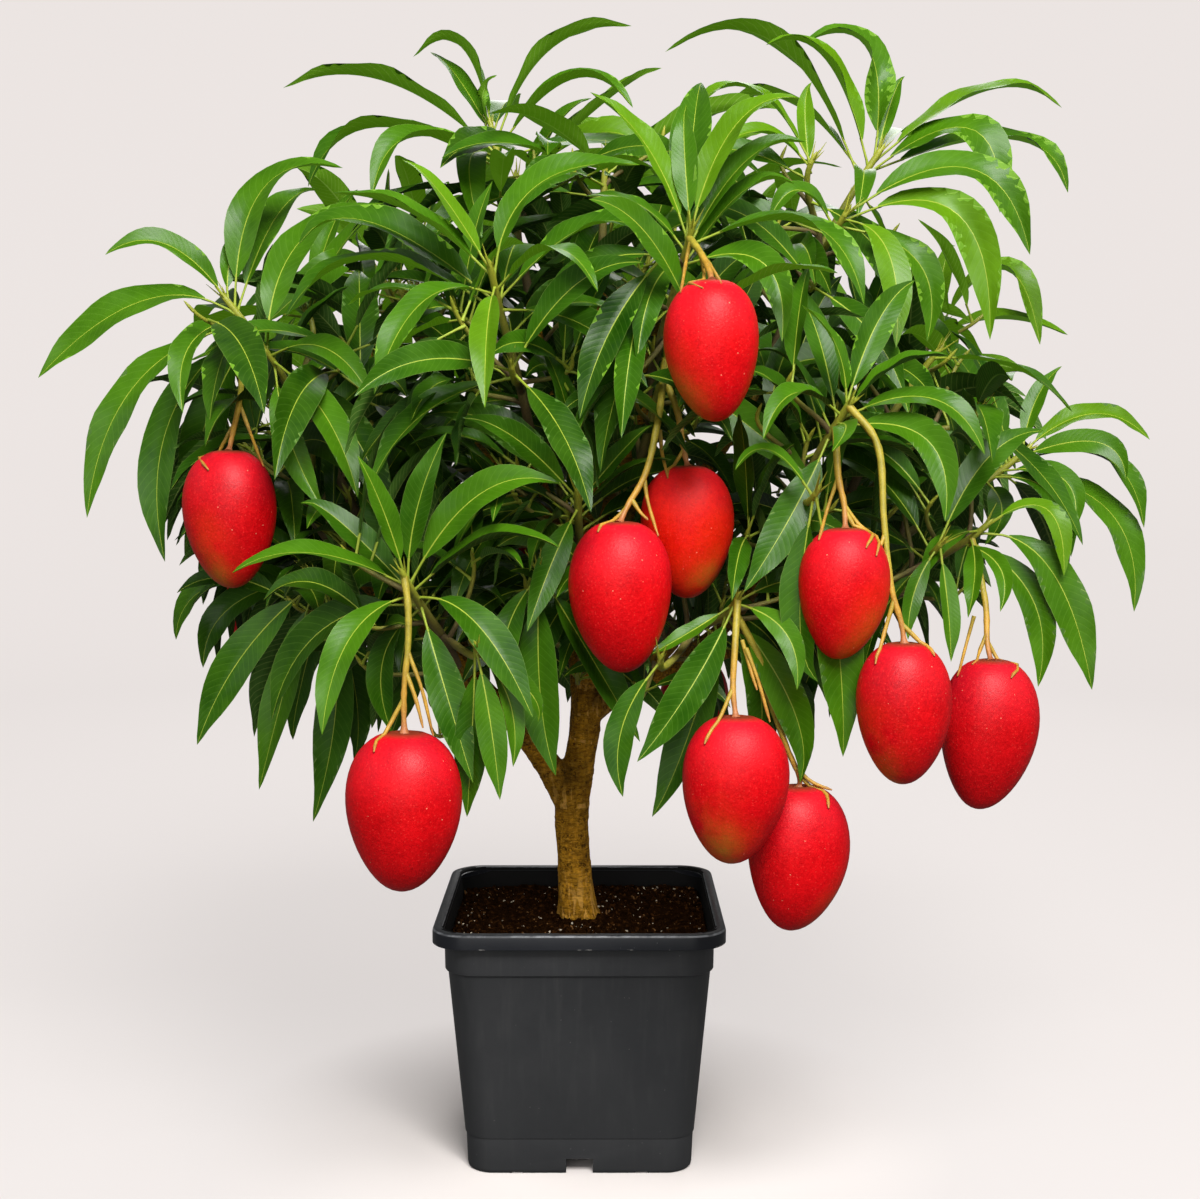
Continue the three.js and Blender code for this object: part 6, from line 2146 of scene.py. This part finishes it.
# %% Scattered grains
def scatter_tree():
    tree = bpy.data.node_groups.new("ScatterGrains", "GeometryNodeTree")
    for name, kind, value in (
        ("Geometry", "NodeSocketGeometry", None), ("Density", "NodeSocketFloat", 60000.0),
        ("Seed", "NodeSocketInt", 1), ("Smallest", "NodeSocketFloat", 0.0006),
        ("Largest", "NodeSocketFloat", 0.0014), ("Stretch", "NodeSocketFloat", 1.0),
        ("Material", "NodeSocketMaterial", None),
    ):
        socket = tree.interface.new_socket(name, in_out="INPUT", socket_type=kind)
        if value is not None:
            socket.default_value = value
    tree.interface.new_socket("Geometry", in_out="OUTPUT", socket_type="NodeSocketGeometry")
    nodes = Nodes(tree)
    given = nodes.add("NodeGroupInput").outputs
    spots = nodes.add("GeometryNodeDistributePointsOnFaces",
                      {"Mesh": given["Geometry"], "Density": given["Density"], "Seed": given["Seed"]})
    ball = nodes.add("GeometryNodeMeshIcoSphere", {"Radius": 1.0, "Subdivisions": 1})
    bumpy = nodes.add("ShaderNodeTexNoise", {"Scale": 1.3, "Detail": 1.0})
    centred = nodes.add("ShaderNodeVectorMath", {0: bumpy.outputs["Color"], 1: (0.5, 0.5, 0.5)}, operation="SUBTRACT")
    shaped = nodes.add("GeometryNodeSetPosition", {"Geometry": ball.outputs[0], "Offset": centred.outputs[0]})
    stretch = nodes.add("ShaderNodeCombineXYZ", {0: given["Stretch"], 1: 1.0, 2: 0.8})
    longer = nodes.add("GeometryNodeTransform", {"Geometry": shaped.outputs[0], "Scale": stretch.outputs[0]})
    spin = nodes.add("FunctionNodeRandomValue", {1: (6.28, 6.28, 6.28), "Seed": given["Seed"]}, data_type="FLOAT_VECTOR")
    size = nodes.add("FunctionNodeRandomValue", data_type="FLOAT")
    nodes.set(size, 2, given["Smallest"])
    nodes.set(size, 3, given["Largest"])
    nodes.set(size, "Seed", given["Seed"])
    put = nodes.add("GeometryNodeInstanceOnPoints", {
        "Points": spots.outputs["Points"], "Instance": longer.outputs[0],
        "Rotation": spin.outputs[0], "Scale": size.outputs[1]})
    real = nodes.add("GeometryNodeRealizeInstances", {"Geometry": put.outputs[0]})
    made = nodes.add("GeometryNodeSetMaterial", {"Geometry": real.outputs[0], "Material": given["Material"]})
    nodes.add("NodeGroupOutput", {"Geometry": made.outputs[0]})
    return tree


def bed_top():
    """The upper surface of the bed alone, a little inside the wall."""
    outline = rounded_square(BED_HALF - 1.5, BED_CORNER, 0, 11)
    points = [vec(0, 0, bed_height(0, 0))]
    shares = np.linspace(0.16, 1, 24)
    for share in shares:
        points += [vec(p[0] * share, p[1] * share, bed_height(p[0] * share, p[1] * share)) for p in outline]
    around = len(outline)
    faces = []
    for row in range(len(shares) - 1):
        for k in range(around):
            n = (k + 1) % around
            here, there = 1 + row * around, 1 + (row + 1) * around
            faces.append((here + k, there + k, there + n, here + n))
    mesh = bpy.data.meshes.new("bed_top")
    mesh.from_pydata([tuple(p * MM) for p in points], [], faces)
    return mesh


GRAINS = [
    ("soil_crumbs", "soil_mix", 78000.0, 11, 0.0009, 0.0031, 1.25),
    ("soil_bark_bits", "bark_bits", 5600.0, 23, 0.0005, 0.0013, 2.8),
    ("soil_perlite", "perlite", 8600.0, 37, 0.0006, 0.0016, 1.0),
]
scatter = scatter_tree()
for name, material, density, seed, smallest, largest, stretch in GRAINS:
    grains = made_by_nodes(bed_top(), scatter, {
        "Density": density, "Seed": seed, "Smallest": smallest, "Largest": largest,
        "Stretch": stretch, "Material": bpy.data.materials[material]})
    grains.name = name
    add_piece(name, grains, "potting_soil", "soil")
    print(name, triangle_count(grains), "triangles")

# %% [markdown]
# ## Studio
#
# A pale round cove, flat in the middle and turned up far outside, gives the same soft background
# from every side. A wide soft light above the front does most of the work, two weaker ones fill the
# sides, and one behind keeps the back of the crown readable. The open sky of the studio fills the rest.

# %% Cove
COVE_FLAT = 3.2
COVE_TURN = 1.6
COVE_HEIGHT = 5.0
COVE_AROUND = 96


def cove():
    profile = [(0.02, 0.0), (0.5, 0.0), (1.5, 0.0), (COVE_FLAT, 0.0)]
    for i in range(1, 13):
        angle = math.pi / 2 * i / 12
        profile.append((COVE_FLAT + COVE_TURN * math.sin(angle), COVE_TURN * (1 - math.cos(angle))))
    profile.append((COVE_FLAT + COVE_TURN, COVE_HEIGHT))
    points = []
    for reach, height in profile:
        for k in range(COVE_AROUND):
            angle = 2 * math.pi * k / COVE_AROUND
            points.append((reach * math.cos(angle), reach * math.sin(angle), height))
    faces = loft_faces(len(profile), COVE_AROUND) + [tuple(range(COVE_AROUND))]
    mesh = bpy.data.meshes.new("cove")
    mesh.from_pydata(points, [], [tuple(face) for face in faces])
    return mesh


material, nodes, shader = new_material("cove_paper")
place = nodes.add("ShaderNodeTexCoord").outputs["Object"]
reach = nodes.add("ShaderNodeVectorMath", {0: place}, operation="LENGTH").outputs["Value"]
tone = nodes.group("Mottle", {"Place": place, "Broad": 0.5, "Fine": 3.0, "Share": 0.2})["Tone"]
near = nodes.mix(tone, rgb(0.79, 0.735, 0.712), rgb(0.81, 0.755, 0.732))
paper = nodes.mix(nodes.ramp(reach, 0.13, 0.34), near, rgb(0.22, 0.208, 0.204))
finish_material(nodes, shader, paper, nodes.ramp(tone, 0.0, 1.0, 0.86, 0.9))
glow = nodes.mix(nodes.ramp(reach, 0.13, 0.34), rgb(0, 0, 0), rgb(0.588, 0.553, 0.540))
glow = nodes.mix(nodes.ramp(reach, 0.5, 4.6), glow, rgb(0.735, 0.687, 0.670))
nodes.set(shader, "Emission Color", glow)
shader.inputs["Emission Strength"].default_value = 1.0
cove_mesh = cove()
set_faces(cove_mesh, ["cove_paper"])
floor = bpy.data.objects.new("floor", cove_mesh)
bpy.context.collection.objects.link(floor)
floor.visible_diffuse = False
floor.visible_glossy = False

# %% Lights
SKY_LIGHT = 0.15
LIGHTS = [
    ("key", (0.45, -2.0, 2.35), (0.0, 0.0, 0.5), 1.25, 132.0, (1.0, 0.99, 0.97)),
    ("front", (-0.5, -3.3, 1.0), (0.0, 0.0, 0.4), 2.2, 32.0, (1.0, 0.99, 0.97)),
    ("fill_left", (-2.5, -1.1, 1.5), (0.0, 0.0, 0.55), 1.5, 9.0, (0.97, 0.985, 1.0)),
    ("fill_right", (2.5, -1.0, 1.6), (0.0, 0.0, 0.55), 1.5, 9.0, (1.0, 0.99, 0.97)),
    ("back", (0.3, 2.4, 2.4), (0.0, 0.0, 0.6), 1.6, 34.0, (1.0, 0.99, 0.98)),
]
for name, spot, target, size, power, colour in LIGHTS:
    lamp = bpy.data.lights.new(name, "AREA")
    lamp.shape = "SQUARE"
    lamp.size = size
    lamp.energy = power
    lamp.color = colour
    light = bpy.data.objects.new(name, lamp)
    bpy.context.collection.objects.link(light)
    direction = vec(*target) - vec(*spot)
    from_up = math.acos(-unit(direction)[2])
    round_z = math.atan2(direction[1], direction[0]) - math.pi / 2
    light.location = spot
    light.rotation_euler = (from_up, 0, round_z)
    light.visible_camera = False

world = bpy.data.worlds.new("studio")
bpy.context.scene.world = world
world.use_nodes = True
background = world.node_tree.nodes["Background"]
background.inputs["Color"].default_value = rgb(1.0, 0.985, 0.97)
background.inputs["Strength"].default_value = SKY_LIGHT
print("lights:", len(LIGHTS))
